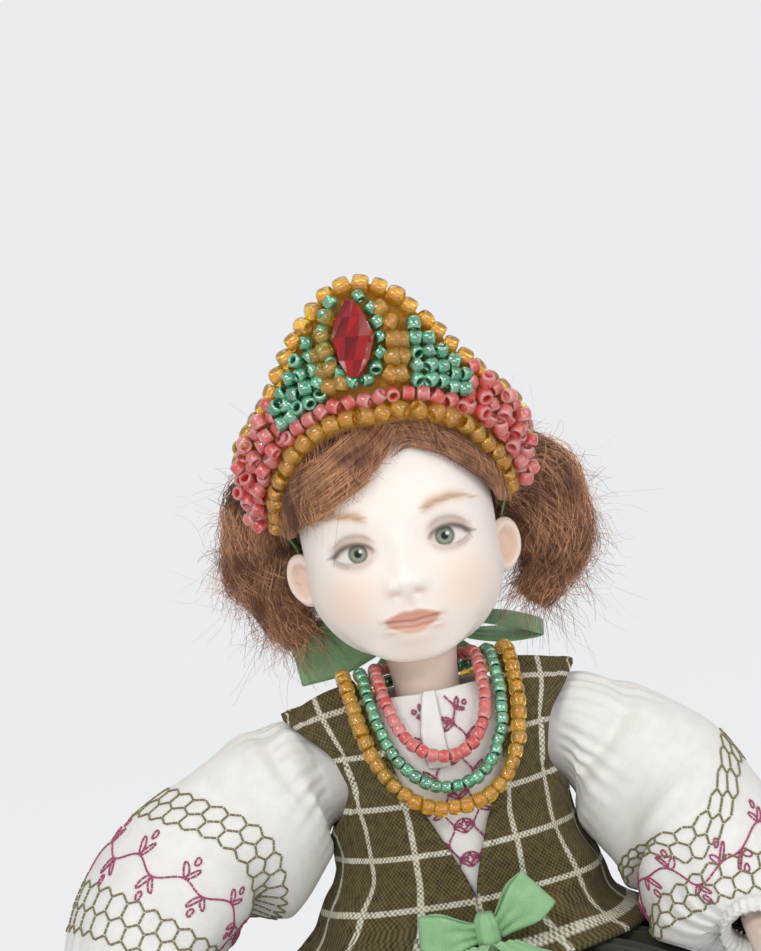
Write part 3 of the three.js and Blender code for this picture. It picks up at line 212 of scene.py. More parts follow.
def thick_sheet(grid, thickness, cloth):
    """Points, faces and cloth places of a sheet of even thickness with a rounded rim."""
    rows, columns = grid.shape[:2]
    normal = grid_normals(grid)
    front, back = grid + normal * thickness / 2, grid - normal * thickness / 2
    index = np.arange(rows * columns).reshape(rows, columns)
    rim = np.concatenate([index[0, :-1], index[:-1, -1], index[-1, :0:-1], index[:0:-1, 0]])
    middle = grid.reshape(-1, 3)
    inner = np.clip(rim // columns, 1, rows - 2) * columns + np.clip(rim % columns, 1, columns - 2)
    edge = middle[rim] + unit(middle[rim] - middle[inner]) * thickness * 0.45
    total = rows * columns
    following = np.roll(np.arange(len(rim)), -1)
    at_edge = 2 * total + np.arange(len(rim))
    quads = grid_quads(rows, columns)
    faces = [
        quads,
        quads[:, ::-1] + total,
        np.stack([rim[following], rim, at_edge, at_edge[following]], -1),
        np.stack([at_edge[following], at_edge, rim + total, rim[following] + total], -1),
    ]
    flat = np.asarray(cloth, float).reshape(total, -1)
    points = np.concatenate([front.reshape(-1, 3), back.reshape(-1, 3), edge])
    return points, faces, np.concatenate([flat, flat, flat[rim]])


def tubes(paths, radii, sides):
    """Points and faces of round strands along paths of (strands, steps, 3)."""
    count, steps = paths.shape[:2]
    tangent = unit(np.gradient(paths, axis=1))
    guide = np.where(np.abs(tangent[:, :1, 2:]) > 0.8, [[[1.0, 0.1, 0.0]]], [[[0.1, 0.0, 1.0]]])
    side = unit(np.cross(tangent, guide))
    up = np.cross(side, tangent)
    turn = full_turn(sides)
    ring = side[:, :, None] * np.cos(turn)[:, None] + up[:, :, None] * np.sin(turn)[:, None]
    points = paths[:, :, None] + ring * np.broadcast_to(radii, (count, steps))[:, :, None, None]
    one = grid_quads(steps, sides, wrap=True)
    starts = (np.arange(count) * steps * sides)[:, None]
    ends = np.arange(sides)
    faces = [
        (starts[:, :, None] + one[None]).reshape(-1, 4),
        starts + ends[None, ::-1],
        starts + (steps - 1) * sides + ends[None],
    ]
    return points.reshape(-1, 3), faces


# Materials
def colour(code):
    """Linear colour of an sRGB hex code."""
    srgb = np.array([int(code[k:k + 2], 16) / 255 for k in (1, 3, 5)])
    linear = np.where(srgb <= 0.04045, srgb / 12.92, ((srgb + 0.055) / 1.055) ** 2.4)
    return (*linear, 1.0)


def add(tree, kind, inputs=None, **settings):
    """Adds a node with its settings; each input is a value or the output that feeds it."""
    node = tree.nodes.new(kind)
    for name, value in settings.items():
        setattr(node, name, value)
    for name, value in (inputs or {}).items():
        if isinstance(value, bpy.types.NodeSocket):
            tree.links.new(value, node.inputs[name])
        else:
            node.inputs[name].default_value = value
    return node


def new_look(name):
    """An empty material with its node tree and its shader."""
    look = bpy.data.materials.new(name)
    look.use_nodes = True
    look.node_tree.nodes.clear()
    shader = add(look.node_tree, "ShaderNodeBsdfPrincipled")
    add(look.node_tree, "ShaderNodeOutputMaterial", {"Surface": shader.outputs["BSDF"]})
    return look, look.node_tree, shader


def blended(tree, share, dark, light):
    """Colour between two hex codes by a share from a node."""
    ends = {0: share, 6: colour(dark), 7: colour(light)}
    return add(tree, "ShaderNodeMix", ends, data_type="RGBA").outputs[2]


def set_inputs(shader, **values):
    for name, value in values.items():
        shader.inputs[name.replace("_", " ")].default_value = value


def bisque_porcelain():
    """Unglazed porcelain, fired twice and china-painted: matt, a little translucent, faintly grainy."""
    look, tree, shader = new_look("bisque_porcelain")
    paint = add(tree, "ShaderNodeAttribute", attribute_name="paint")
    place = add(tree, "ShaderNodeTexCoord").outputs["Object"]
    grain = add(tree, "ShaderNodeTexNoise", {"Vector": place, "Scale": 1 / (0.5 * MM), "Detail": 3.0})
    mottle = add(tree, "ShaderNodeTexNoise", {"Vector": place, "Scale": 1 / (9 * MM), "Detail": 2.0})
    tint = add(tree, "ShaderNodeMapRange", {"Value": mottle.outputs["Fac"], 3: 0.975, 4: 1.02})
    tinted = add(tree, "ShaderNodeVectorMath", {0: paint.outputs["Vector"]}, operation="SCALE")
    tree.links.new(tint.outputs[0], tinted.inputs["Scale"])
    tree.links.new(tinted.outputs[0], shader.inputs["Base Color"])
    rough = add(tree, "ShaderNodeMapRange", {"Value": grain.outputs["Fac"], 3: 0.46, 4: 0.6})
    tree.links.new(rough.outputs[0], shader.inputs["Roughness"])
    pores = {"Height": grain.outputs["Fac"], "Strength": 0.06, "Distance": 0.1 * MM}
    bump = add(tree, "ShaderNodeBump", pores)
    tree.links.new(bump.outputs[0], shader.inputs["Normal"])
    set_inputs(shader, IOR=1.5, Specular_IOR_Level=0.2, Subsurface_Weight=0.3, Subsurface_Scale=1.6 * MM)
    shader.inputs["Subsurface Radius"].default_value = (1.0, 0.55, 0.4)
    return look


def seed_glass(name, deep, pale, clear, coat, film=0.0, lustre=0.0):
    """Drawn glass seed beads, fire polished: wet highlights, a deep colour, and pale rims that are a painted
    reflection. A lustre film, where there is one, gives a rainbow."""
    look, tree, shader = new_look(name)
    tone = add(tree, "ShaderNodeAttribute", attribute_name="tone").outputs["Fac"]
    # The tone lays each bead pale at its rims: a painted reflection
    tree.links.new(blended(tree, tone, deep, pale), shader.inputs["Base Color"])
    place = add(tree, "ShaderNodeTexCoord").outputs["Object"]
    wave = add(tree, "ShaderNodeTexNoise", {"Vector": place, "Scale": 1 / (1.2 * MM), "Detail": 1.0})
    rough = add(tree, "ShaderNodeMapRange", {"Value": wave.outputs["Fac"], 3: 0.04, 4: 0.14})
    tree.links.new(rough.outputs[0], shader.inputs["Roughness"])
    set_inputs(shader, IOR=1.45, Transmission_Weight=clear, Coat_Weight=coat, Coat_Roughness=0.03)
    if film:
        spread = {"Value": wave.outputs["Fac"], 1: 0.3, 2: 0.7, 3: 0.6 * film, 4: 1.5 * film}
        thick = add(tree, "ShaderNodeMapRange", spread)
        tree.links.new(thick.outputs[0], shader.inputs["Thin Film Thickness"])
        set_inputs(shader, Thin_Film_IOR=2.1, Metallic=lustre)
    return look


def red_crystal():
    """Cut and polished lead crystal: clear and deep red, with sharp facets each painted its own shade of red,
    a painted stand-in for the light and shade that the facets catch.
    """
    look, tree, shader = new_look("red_crystal")
    tone = add(tree, "ShaderNodeAttribute", attribute_name="tone").outputs["Fac"]
    # Dark to bright red by each facet's painted light and shade
    tree.links.new(blended(tree, tone, "#6A0610", "#D8181A"), shader.inputs["Base Color"])
    place = add(tree, "ShaderNodeTexCoord").outputs["Object"]
    polish = add(tree, "ShaderNodeTexNoise", {"Vector": place, "Scale": 1 / (3 * MM)})
    rough = add(tree, "ShaderNodeMapRange", {"Value": polish.outputs["Fac"], 3: 0.04, 4: 0.1})
    tree.links.new(rough.outputs[0], shader.inputs["Roughness"])
    set_inputs(shader, IOR=1.42, Transmission_Weight=0.3)
    return look


def wool_felt(name, dark, light):
    """Pressed wool: fibres lie every way, so it is matt, fuzzy and softly mottled."""
    look, tree, shader = new_look(name)
    place = add(tree, "ShaderNodeTexCoord").outputs["Object"]
    fibre = add(tree, "ShaderNodeTexNoise", {"Vector": place, "Scale": 1 / (0.6 * MM), "Detail": 5.0})
    tree.links.new(blended(tree, fibre.outputs["Fac"], dark, light), shader.inputs["Base Color"])
    nap = {"Height": fibre.outputs["Fac"], "Strength": 0.6, "Distance": 0.3 * MM}
    bump = add(tree, "ShaderNodeBump", nap)
    tree.links.new(bump.outputs[0], shader.inputs["Normal"])
    set_inputs(shader, Roughness=0.95, Sheen_Weight=0.3)
    return look


# Camera: the doll's top leans to the picture's left, so the camera is rolled
CAMERA_AIM = Vector((-1.2, 0, 132.3)) * MM
CAMERA_DISTANCE = 450 * MM
CAMERA_AZIMUTH = math.radians(-5.5)
CAMERA_ELEVATION = math.radians(2.8)
CAMERA_ROLL = math.radians(-10.5)
CAMERA_LENS = 107


def set_camera():
    level, rise = math.cos(CAMERA_ELEVATION), math.sin(CAMERA_ELEVATION)
    back = Vector((math.sin(CAMERA_AZIMUTH) * level, -math.cos(CAMERA_AZIMUTH) * level, rise))
    data = bpy.data.cameras.new("camera")
    data.lens = CAMERA_LENS
    data.clip_start = 0.01
    camera = bpy.data.objects.new("camera", data)
    camera.location = CAMERA_AIM + back * CAMERA_DISTANCE
    camera.rotation_mode = "QUATERNION"
    camera.rotation_quaternion = (-back).to_track_quat("-Z", "Y") @ Quaternion((0, 0, 1), CAMERA_ROLL)
    bpy.context.scene.collection.objects.link(camera)
    bpy.context.scene.camera = camera


# Soft studio light: name, place and size in metres, watts
LAMPS = (
    ("key", (-0.5, -0.75, 0.8), 0.42, 3.0),
    ("fill", (0.7, -0.65, 0.45), 0.6, 1.6),
    ("top", (0.05, 0.25, 1.0), 0.6, 2.0),
    ("low", (-0.1, -1.0, 0.05), 0.7, 2.9),
    ("left_spark", (-0.3, -0.9, 0.75), 0.05, 0.8),
    ("right_spark", (0.45, -0.8, 0.6), 0.05, 0.8),
)
WORLD_LEVEL = 0.52
BACKDROP = "#F1F2F4"


def seen_share(tree):
    """1 for rays that see the backdrop from the camera, in a gloss or through glass."""
    path = add(tree, "ShaderNodeLightPath").outputs
    seen = path["Is Camera Ray"]
    for ray in ("Is Glossy Ray", "Is Transmission Ray"):
        seen = add(tree, "ShaderNodeMath", {0: seen, 1: path[ray]}, operation="MAXIMUM").outputs[0]
    return seen


def set_light():
    for name, place, size, watts in LAMPS:
        data = bpy.data.lights.new(name, "AREA")
        data.shape = "DISK"
        data.size = size
        data.energy = watts
        lamp = bpy.data.objects.new(name, data)
        lamp.location = place
        lamp.rotation_euler = (Vector((0, 0, 0.1)) - lamp.location).to_track_quat("-Z", "Y").to_euler()
        bpy.context.scene.collection.objects.link(lamp)
    world = bpy.data.worlds.new("studio")
    world.use_nodes = True
    tree = world.node_tree
    tree.nodes.clear()
    strength = add(tree, "ShaderNodeMapRange", {"Value": seen_share(tree), 3: WORLD_LEVEL, 4: 1.0})
    sky = add(tree, "ShaderNodeBackground", {"Color": colour(BACKDROP), "Strength": strength.outputs[0]})
    add(tree, "ShaderNodeOutputWorld", {"Surface": sky.outputs[0]})
    bpy.context.scene.world = world
    bpy.context.scene.view_settings.view_transform = "Standard"


def paper_sweep():
    """Matt paper backdrop: a floor that curves up behind."""
    look, tree, shader = new_look("paper_sweep")
    set_inputs(shader, Base_Color=colour("#E4E5E7"), Roughness=0.9)
    glow = add(tree, "ShaderNodeEmission", {"Color": colour(BACKDROP), "Strength": 1.0})
    share = add(tree, "ShaderNodeMath", {0: seen_share(tree), 1: 0.85}, operation="MULTIPLY")
    both = add(tree, "ShaderNodeMixShader", {0: share.outputs[0], 1: shader.outputs[0], 2: glow.outputs[0]})
    tree.links.new(both.outputs[0], tree.nodes["Material Output"].inputs["Surface"])
    turn = np.linspace(0, np.pi / 2, 16)
    profile = [(-1.5, 0.0), *zip(0.7 + 0.6 * np.sin(turn), 0.6 - 0.6 * np.cos(turn)), (1.3, 2.2)]
    points = [(x, y, z) for y, z in profile for x in (-2.5, 2.5)]
    faces = [(2 * i, 2 * i + 1, 2 * i + 3, 2 * i + 2) for i in range(len(profile) - 1)]
    mesh = bpy.data.meshes.new("backdrop")
    mesh.from_pydata(points, [], faces)
    mesh.materials.append(look)
    mesh.polygons.foreach_set("use_smooth", np.full(len(faces), True))
    backdrop = bpy.data.objects.new("backdrop", mesh)
    bpy.context.scene.collection.objects.link(backdrop)


# Head: a squared ellipsoid with a modelled face; places on it are from its centre
HEAD_CENTRE = np.array([0, 1, 30.0])
HEAD_HALF_WIDTH = 15.6
HEAD_HALF_FRONT, HEAD_HALF_BACK = 17, 19
HEAD_HALF_TOP, HEAD_HALF_CHIN = 21.8, 22
HEAD_SQUARENESS = 2.45
CHIN_DROP, CHIN_LENGTH, JAW_FULLNESS = 1.6, 2.6, 0.085
# Middle of each painted eye, outward and up; the painter set the right one nearer the nose
EYE_AT = {"right": (7.2, -3.4), "left": (8.0, -3.0)}
EYE_HALF = 3.35
IRIS_IN, IRIS_RADIUS, PUPIL_RADIUS = 0.75, 1.5, 0.64
MOUTH_UP, MOUTH_HALF = -14.7, 4.7
BROW = ((4.1, 1.8), (6.6, 2.7), (9, 3.05), (11.3, 2.65), (13.4, 1.5))


def head_radius(d):
    x, y, z = np.abs(np.moveaxis(d, -1, 0))
    front = np.where(d[..., 1] < 0, HEAD_HALF_FRONT, HEAD_HALF_BACK)
    high = np.where(d[..., 2] > 0, HEAD_HALF_TOP, HEAD_HALF_CHIN)
    total = sum(share ** HEAD_SQUARENESS for share in (x / HEAD_HALF_WIDTH, y / front, z / high))
    return total ** (-1 / HEAD_SQUARENESS)


def eye_place(x, z, sign):
    """Place from an eye's middle, outward and up, with its upper and lower lid lines there."""
    own = lambda k: np.where(np.asarray(sign) < 0, EYE_AT["right"][k], EYE_AT["left"][k])
    out, up = sign * x - own(0), z - own(1)
    upper = 1.5 * (1 - np.clip(np.abs(out + 0.25) / EYE_HALF, 0, 1) ** 2.2)
    lower = -1.35 * (1 - np.clip(np.abs(out) / EYE_HALF, 0, 1) ** 2.4)
    return out, up, upper, lower


def lip_lines(x):
    """Upper edge, parting and lower edge of the lips."""
    side = np.clip(np.abs(x) / MOUTH_HALF, 0, 1)
    corner = 0.12 * side ** 2
    parting = MOUTH_UP + corner - 0.2 * bell(x, 0, 1.2)
    upper = MOUTH_UP + corner + 1.5 * (1 - side ** 1.5) - 0.3 * bell(x, 0, 0.8)
    lower = MOUTH_UP + corner - 2.2 * (1 - side ** 2.0)
    return upper, parting, lower


def face_relief(x, z):
    """How far the face stands out of the plain form."""
    side = np.abs(x)
    tip = np.where(z > -8.5, bell(z, -8.5, 2.4), bell(z, -8.5, 2.2))
    nose = 1.5 * tip * bell(x, 0, 2.0) + 0.8 * bell(z, -4, 3.2) * bell(x, 0, 1.9)
    wings = 0.7 * bell(side, 2.3, 1.0) * bell(z, -9.1, 1.3)
    nostrils = wings - 0.4 * bell(side, 1.5, 0.5) * bell(z, -10.5, 0.45)
    sockets = -1.1 * bell(side, 6.6, 4) * bell(z, -2.6, 2.7)
    eyes = 0.8 * bell(side, 7.4, 2.9) * bell(z, -3, 1.8)
    out, up, upper, lower = eye_place(x, z, np.sign(x))
    on_eye = smoothstep(EYE_HALF + 0.4 - np.abs(out), 0, 1.2)
    lids = on_eye * (0.25 * bell(up, upper + 0.5, 0.5) + 0.12 * bell(up, lower - 0.3, 0.35))
    crease = -0.16 * on_eye * bell(up, upper + 1.4, 0.4)
    brows = 0.4 * bell(side, 7, 4) * bell(z, 2.2, 1.8)
    cheeks = 0.8 * bell(side, 8, 5) * bell(z, -11, 5)
    mouth = 0.8 * bell(x, 0, 5) * bell(z, -15, 4)
    top, parting, bottom = lip_lines(x)
    wide = smoothstep(MOUTH_HALF + 0.3 - side, 0, 2.8)
    upper_lip = 0.45 * bell(z, (top + parting) / 2, 1.0)
    lower_lip = 0.45 * bell(z, (bottom + parting) / 2, 1.4) * (1 - (side / MOUTH_HALF) ** 2).clip(0)
    lips = wide * (upper_lip + lower_lip)
    slit = -0.4 * smoothstep(MOUTH_HALF - side, 0, 1.5) * bell(z, parting, 0.25)
    groove = -0.2 * bell(x, 0, 0.8) * bell(z, -12.2, 1.0)
    chin = 0.9 * bell(x, 0, 4) * bell(z, -20.3, 2.6) - 0.25 * bell(x, 0, 3.5) * bell(z, -18.5, 1.0)
    upper_face = nose + nostrils + sockets + eyes + lids + crease + brows
    return upper_face + cheeks + mouth + lips + slit + groove + chin


def head_point(azimuth, polar, lift=0.0, face=False):
    d = np.stack([np.sin(polar) * np.sin(azimuth), -np.sin(polar) * np.cos(azimuth), np.cos(polar)], -1)
    p = d * (head_radius(d) + lift)[..., None]
    if face:
        x, y, z = (p[..., k].copy() for k in range(3))
        jaw = smoothstep(-z, 4, 13) * smoothstep(-y, -6, 2)
        p[..., 0] *= 1 + JAW_FULLNESS * jaw
        p[..., 1] -= smoothstep(-y, 3, 11) * face_relief(x, z)
        drop = CHIN_DROP * smoothstep(-z, 8, 18) + CHIN_LENGTH * smoothstep(-z, 15.5, 20)
        p[..., 2] -= smoothstep(-y, 7.5, 12) * drop
    return p + HEAD_CENTRE


def lay(paint, mask, code):
    """Lays one colour over the paint where the mask is."""
    paint += (np.array(colour(code)[:3]) - paint) * np.clip(mask, 0, 1)[..., None]


def soft(value, width):
    return smoothstep(value, -width, width)


def stroke(x, z, start, end, width):
    """Mask of one brush stroke that thins towards its end."""
    start, end = np.asarray(start, float), np.asarray(end, float)
    way = end - start
    share = np.clip(((x - start[0]) * way[0] + (z - start[1]) * way[1]) / way.dot(way), 0, 1)
    off = np.hypot(x - start[0] - share * way[0], z - start[1] - share * way[1])
    return smoothstep(width * (1 - 0.65 * share) - off, -0.12, 0.08)


def paint_eye(paint, x, z, side, sign):
    """One painted eye: soft lids, a grey-green iris, and a few fine lashes towards the outer corner, with
    painted shade round the eye, under the upper lid and in its crease, and a painted highlight on the iris.
    """
    out, up, upper, lower = eye_place(x, z, sign)
    reach = smoothstep(EYE_HALF + 0.9 - np.abs(out), 0, 2.0)
    opened = soft(upper - up, 0.2) * soft(up - lower, 0.2) * (np.abs(out) < EYE_HALF)
    # Brown-grey paint on the lid and under the eye, which also paints the shade of the socket
    lay(paint, 0.68 * reach * bell(up, upper + 0.7, 1.1), "#B29888")
    lay(paint, 0.52 * reach * bell(up, lower - 0.4, 0.8), "#B79F90")
    lay(paint, 0.9 * opened, "#E6DDD4")
    # Painted shadow of the upper lid on the eye white
    lay(paint, 0.6 * opened * smoothstep(up, upper - 1.3, upper), "#93857C")
    lay(paint, 0.6 * opened * bell(out, -EYE_HALF + 0.4, 0.7), "#CFA394")
    iris_out, iris_up = out + IRIS_IN, up - 0.1
    ring = np.hypot(iris_out, iris_up)
    iris = opened * soft(IRIS_RADIUS - ring, 0.18)
    lay(paint, iris, "#949A82")
    lay(paint, 0.8 * iris * smoothstep(ring, 0.8, IRIS_RADIUS), "#343B33")
    # Painted shade of the lid over the top of the iris
    lay(paint, 0.6 * iris * smoothstep(iris_up, 0.0, 1.3), "#32372F")
    rays = 0.5 + 0.5 * np.sin(17 * np.arctan2(iris_up, iris_out))
    lay(paint, 0.35 * iris * rays * bell(ring, 0.9, 0.3) * smoothstep(-iris_up, -0.4, 0.5), "#A3AE98")
    lay(paint, opened * soft(PUPIL_RADIUS - ring, 0.16), "#1C1C19")
    middle, level = EYE_AT[side]
    # Painted highlight on the iris
    light = np.hypot(x - sign * (middle - IRIS_IN) - 0.45, iris_up - 0.32)
    lay(paint, 0.9 * opened * soft(0.26 - light, 0.14), "#F4F4F0")
    ends = smoothstep(EYE_HALF + 0.5 - np.abs(out), 0, 1.2)
    lid = 0.26 + 0.16 * smoothstep(out, -2.5, 3)
    lay(paint, 0.85 * ends * soft(lid - np.abs(up - upper - 0.1), 0.42), "#4E4038")
    lay(paint, 0.4 * ends * smoothstep(out, -3, 1) * soft(0.12 - np.abs(up - lower), 0.2), "#7F6C61")
    # Soft brown line in the lid's crease, which also paints the crease's shade
    crease = soft(0.2 - np.abs(up - upper - 1.35), 0.5) * smoothstep(EYE_HALF + 1.0 - np.abs(out), 0, 2.4)
    lay(paint, 0.55 * crease, "#94806F")
    corner = np.array([sign * (middle + EYE_HALF), level])
    lay(paint, 0.5 * stroke(x, z, corner - (sign * 0.8, -0.3), corner + (sign * 0.8, -0.1), 0.34), "#6E5E55")
    for k in np.linspace(0.3, 1.0, 6):
        place = middle + 0.2 + k * (EYE_HALF - 0.6)
        _, _, _, edge = eye_place(np.array(sign * place), np.array(level), sign)
        root = np.array([sign * place, level + edge])
        lay(paint, 0.4 * stroke(x, z, root, root + (sign * (0.1 + 0.4 * k), -0.65 - 0.2 * k), 0.1), "#7B6A60")


def paint_brow(paint, x, z, sign, hairs=34):
    path = np.array(BROW)
    line = np.interp(sign * x, path[:, 0], path[:, 1])
    share = (sign * x - path[0, 0]) / (path[-1, 0] - path[0, 0])
    inside = smoothstep(share, -0.06, 0.16) * smoothstep(1 - share, 0.0, 0.5)
    lay(paint, 0.85 * inside * bell(z, line, mix(1.0, 0.65, np.clip(share, 0, 1))), "#C6A380")
    draw = np.random.default_rng(4)
    scale = np.array([sign, 1])
    for k in np.linspace(0, 0.9, hairs):
        place = mix(path[0, 0], path[-1, 0], k)
        height = np.interp(place, path[:, 0], path[:, 1])
        root = np.array([place, height + draw.uniform(-0.6, 0.3) * (1 - 0.6 * k)])
        tip = root + (0.8 + 0.4 * k, draw.uniform(0.1, 0.4) * (1 - 1.5 * k))
        lay(paint, draw.uniform(0.1, 0.28) * stroke(x, z, root * scale, tip * scale, 0.16), "#AE8A63")


def face_paint(points):
    """China paint over the bare bisque, by place from the head's centre, with painted shade in the face's
    hollows and painted highlights on the nose tip and the lower lip.
    """
    x, y, z = np.moveaxis(points - HEAD_CENTRE, -1, 0)
    paint = np.tile(np.array(colour("#F7EDE3")[:3]), (len(x), 1))
    beside, front = np.abs(x), smoothstep(-y, 2, 8)
    lay(paint, 0.5 * front * bell(beside, 9.4, 5) * bell(z, -10.5, 4.6), "#F0CDB8")
    lay(paint, 0.3 * front * bell(x, 0, 5) * bell(z, -20.5, 3), "#F3D9C6")
    # Painted shade beside the bridge of the nose, in the eye sockets
    lay(paint, 0.25 * front * bell(beside, 3.9, 1.3) * bell(z, -2.6, 2.2), "#D9CFCB")
    # Painted shade under the nose, at the nostrils
    lay(paint, 0.35 * front * bell(beside, 2.0, 1.1) * bell(z, -10.3, 0.6), "#DDB3A2")
    # Painted highlight on the tip of the nose
    lay(paint, 0.7 * front * bell(x, -0.2, 1.6) * bell(z, -8.3, 1.4), "#FFF8F0")
    # Painted shade in the groove over the upper lip
    lay(paint, 0.2 * front * bell(x, 0, 1.0) * bell(z, -12.0, 1.1), "#E6C0AE")
    # Painted shade in the dip under the lower lip
    lay(paint, 0.35 * front * bell(x, 0, 3.6) * bell(z, -18.5, 0.8), "#E6CBB9")
    for side, sign in SIDES:
        half = front * (sign * x > 0)
        layer = paint.copy()
        paint_brow(layer, x, z, sign)
        paint_eye(layer, x, z, side, sign)
        paint += (layer - paint) * half[:, None]
    # Painted shade under the corners of the lower lip
    lay(paint, 0.5 * front * bell(beside, 3.7, 1.1) * bell(z, MOUTH_UP - 1.7, 0.7), "#E0C4B2")
    top, parting, bottom = lip_lines(x)
    wide = front * smoothstep(MOUTH_HALF - beside, -0.3, 0.9)
    lips = wide * soft(top - z, 0.42) * soft(z - bottom, 0.5)
    lay(paint, 0.88 * lips, "#D99880")
    lay(paint, 0.7 * lips * smoothstep(z, parting - 0.2, parting + 0.8), "#C28A75")
    # Painted highlight on the lower lip
    lay(paint, 0.55 * lips * bell(z, (parting + bottom) / 2 - 0.1, 0.7) * bell(x, -0.4, 2.2), "#EBBFA9")
    lay(paint, 0.75 * wide * bell(z, parting, 0.22), "#8C5646")
    # Painted shadow at the corners of the mouth
    lay(paint, 0.35 * front * bell(beside, MOUTH_HALF + 0.2, 0.6) * bell(z, MOUTH_UP + 0.1, 0.4), "#C79C8A")
    return paint


def build_head(porcelain):
    turns = np.radians(np.concatenate([np.linspace(-80, 80, 236), np.linspace(80, 280, 52)[1:-1]]))
    top, face, under = np.linspace(3, 52, 18), np.linspace(52, 150, 196), np.linspace(150, 177, 14)
    polars = np.radians(np.concatenate([top, face[1:], under[1:]]))
    polar, turn = np.meshgrid(polars, turns, indexing="ij")
    points = head_point(turn, polar, face=True).reshape(-1, 3)
    rows, columns = polar.shape
    poles = np.array([points[:columns].mean(0), points[-columns:].mean(0)])
    ends = np.arange(columns)
    fans = [
        np.stack([np.full(columns, rows * columns), np.roll(ends, -1), ends], -1),
        np.stack([np.full(columns, rows * columns + 1), ends, np.roll(ends, -1)], -1),
    ]
    fans[1][:, 1:] += (rows - 1) * columns
    points = np.concatenate([points, poles])
    faces = [grid_quads(rows, columns, wrap=True), *fans]
    marks = {"paint": face_paint(points)}
    points = in_head(points)
    make_piece("head_porcelain", points, faces, porcelain, "head", "porcelain", ["head"], marks=marks)
    build_neck(porcelain)
    for side, sign in SIDES:
        build_ear(porcelain, side, sign)


def turned(profile, sides):
    """Points and faces of a piece turned about Z from a profile of (radius, height), closed at both ends."""
    profile = np.asarray(profile, float)
    turn = full_turn(sides)
    ring = np.stack([np.cos(turn), np.sin(turn)], -1)
    flat = profile[:, None, :1] * ring[None]
    high = np.broadcast_to(profile[:, None, 1:], (len(profile), sides, 1))
    points = np.concatenate([flat, high], -1).reshape(-1, 3)
    return points, tube_faces(len(profile), sides)


NECK_RADIUS = 5.2
NECK_LENGTH, NECK_SPREAD = 13.5, 2.8


def build_neck(porcelain):
    t = np.linspace(0.02, 1, 40)
    ball = np.radians(np.linspace(-85, 0, 12))
    profile = [(NECK_RADIUS * math.cos(a), NECK_RADIUS * math.sin(a)) for a in ball]
    profile += [(NECK_RADIUS + NECK_SPREAD * s ** 3, NECK_LENGTH * s) for s in t]
    points, faces = turned(profile, 64)
    paint = np.tile(np.array(colour("#E9D6C8")[:3]), (len(points), 1))
    marks = {"paint": paint}
    make_piece("neck_porcelain", in_head(points), faces, porcelain, "head", "porcelain", marks=marks)


EAR_HALF = np.array([2.9, 1.7, 4.4])
EAR_TURN, EAR_LEAN = math.radians(28), math.radians(8)


def build_ear(porcelain, side, sign):
    """A small flat ear with a rolled rim and a hollow, laid back against the hair."""
    polar, turn = np.meshgrid(np.radians(np.linspace(4, 176, 40)), full_turn(48), indexing="ij")
    level = np.sin(polar)
    ball = np.stack([level * np.cos(turn), level * np.sin(turn), np.cos(polar)], -1).reshape(-1, 3)
    from_rim = np.hypot(ball[:, 0] * 1.05, ball[:, 2])
    hollow = smoothstep(0.86 - from_rim, 0, 0.5) * smoothstep(-ball[:, 1], -0.05, 0.25)
    p = ball * EAR_HALF
    p[:, 1] += 2.0 * hollow * smoothstep(-ball[:, 1], 0, 1)
    p[:, 0] *= 1 - 0.2 * smoothstep(-ball[:, 2], 0.2, 1)
    paint = np.tile(np.array(colour("#F0DDCF")[:3]), (len(p), 1))
    # Peach in the hollow, which also paints the hollow's shade
    lay(paint, 0.6 * hollow, "#E2BBA7")
    lay(paint, 0.35 * bell(from_rim, 0.95, 0.2), "#F1DCCB")
    a, b = sign * EAR_TURN, sign * EAR_LEAN
    x, y = math.cos(a) * p[:, 0] - math.sin(a) * p[:, 1], math.sin(a) * p[:, 0] + math.cos(a) * p[:, 1]
    x, z = math.cos(b) * x + math.sin(b) * p[:, 2], -math.sin(b) * x + math.cos(b) * p[:, 2]
    seat = (sign * (HEAD_HALF_WIDTH + 0.7), HEAD_CENTRE[1] + 1, HEAD_CENTRE[2] - 7.2)
    place = np.stack([x, y, z], -1) + seat
    rows, columns = polar.shape
    ends = np.arange(columns)
    faces = [grid_quads(rows, columns, wrap=True), ends[None], (rows - 1) * columns + ends[None, ::-1]]
    make_piece(f"ear_{side}", in_head(place), faces, porcelain, "head", "porcelain", marks={"paint": paint})


# Beads
SEED_BEAD, AMBER_BEAD = 1.05, 1.25
BEAD_HOLE = 0.36
BEAD_LENGTH = 0.8


def bead_form(around=16, section=12):
    """A seed bead of radius 1 about Z, a barrel with rounded ends and a hole.

    With it comes how near a rim each of its points is.
    """
    turn = full_turn(section)
    rounded = lambda v: np.sign(v) * np.abs(v) ** 0.92
    radius = (1 + BEAD_HOLE) / 2 + (1 - BEAD_HOLE) / 2 * rounded(np.cos(turn))
    height = BEAD_LENGTH * rounded(np.sin(turn))
    spin = full_turn(around)
    wide, high = radius[:, None], np.broadcast_to(height[:, None], (section, around))
    points = np.stack([wide * np.cos(spin), wide * np.sin(spin), high], -1).reshape(-1, 3)
    quads = grid_quads(section + 1, around, wrap=True) % (section * around)
    # Near the rims the bead is laid pale: this share places a painted reflection
    rim = np.abs(np.sin(turn)) ** 2 * smoothstep(np.cos(turn), -0.6, 0.5)
    return points, quads, np.repeat(rim, around)


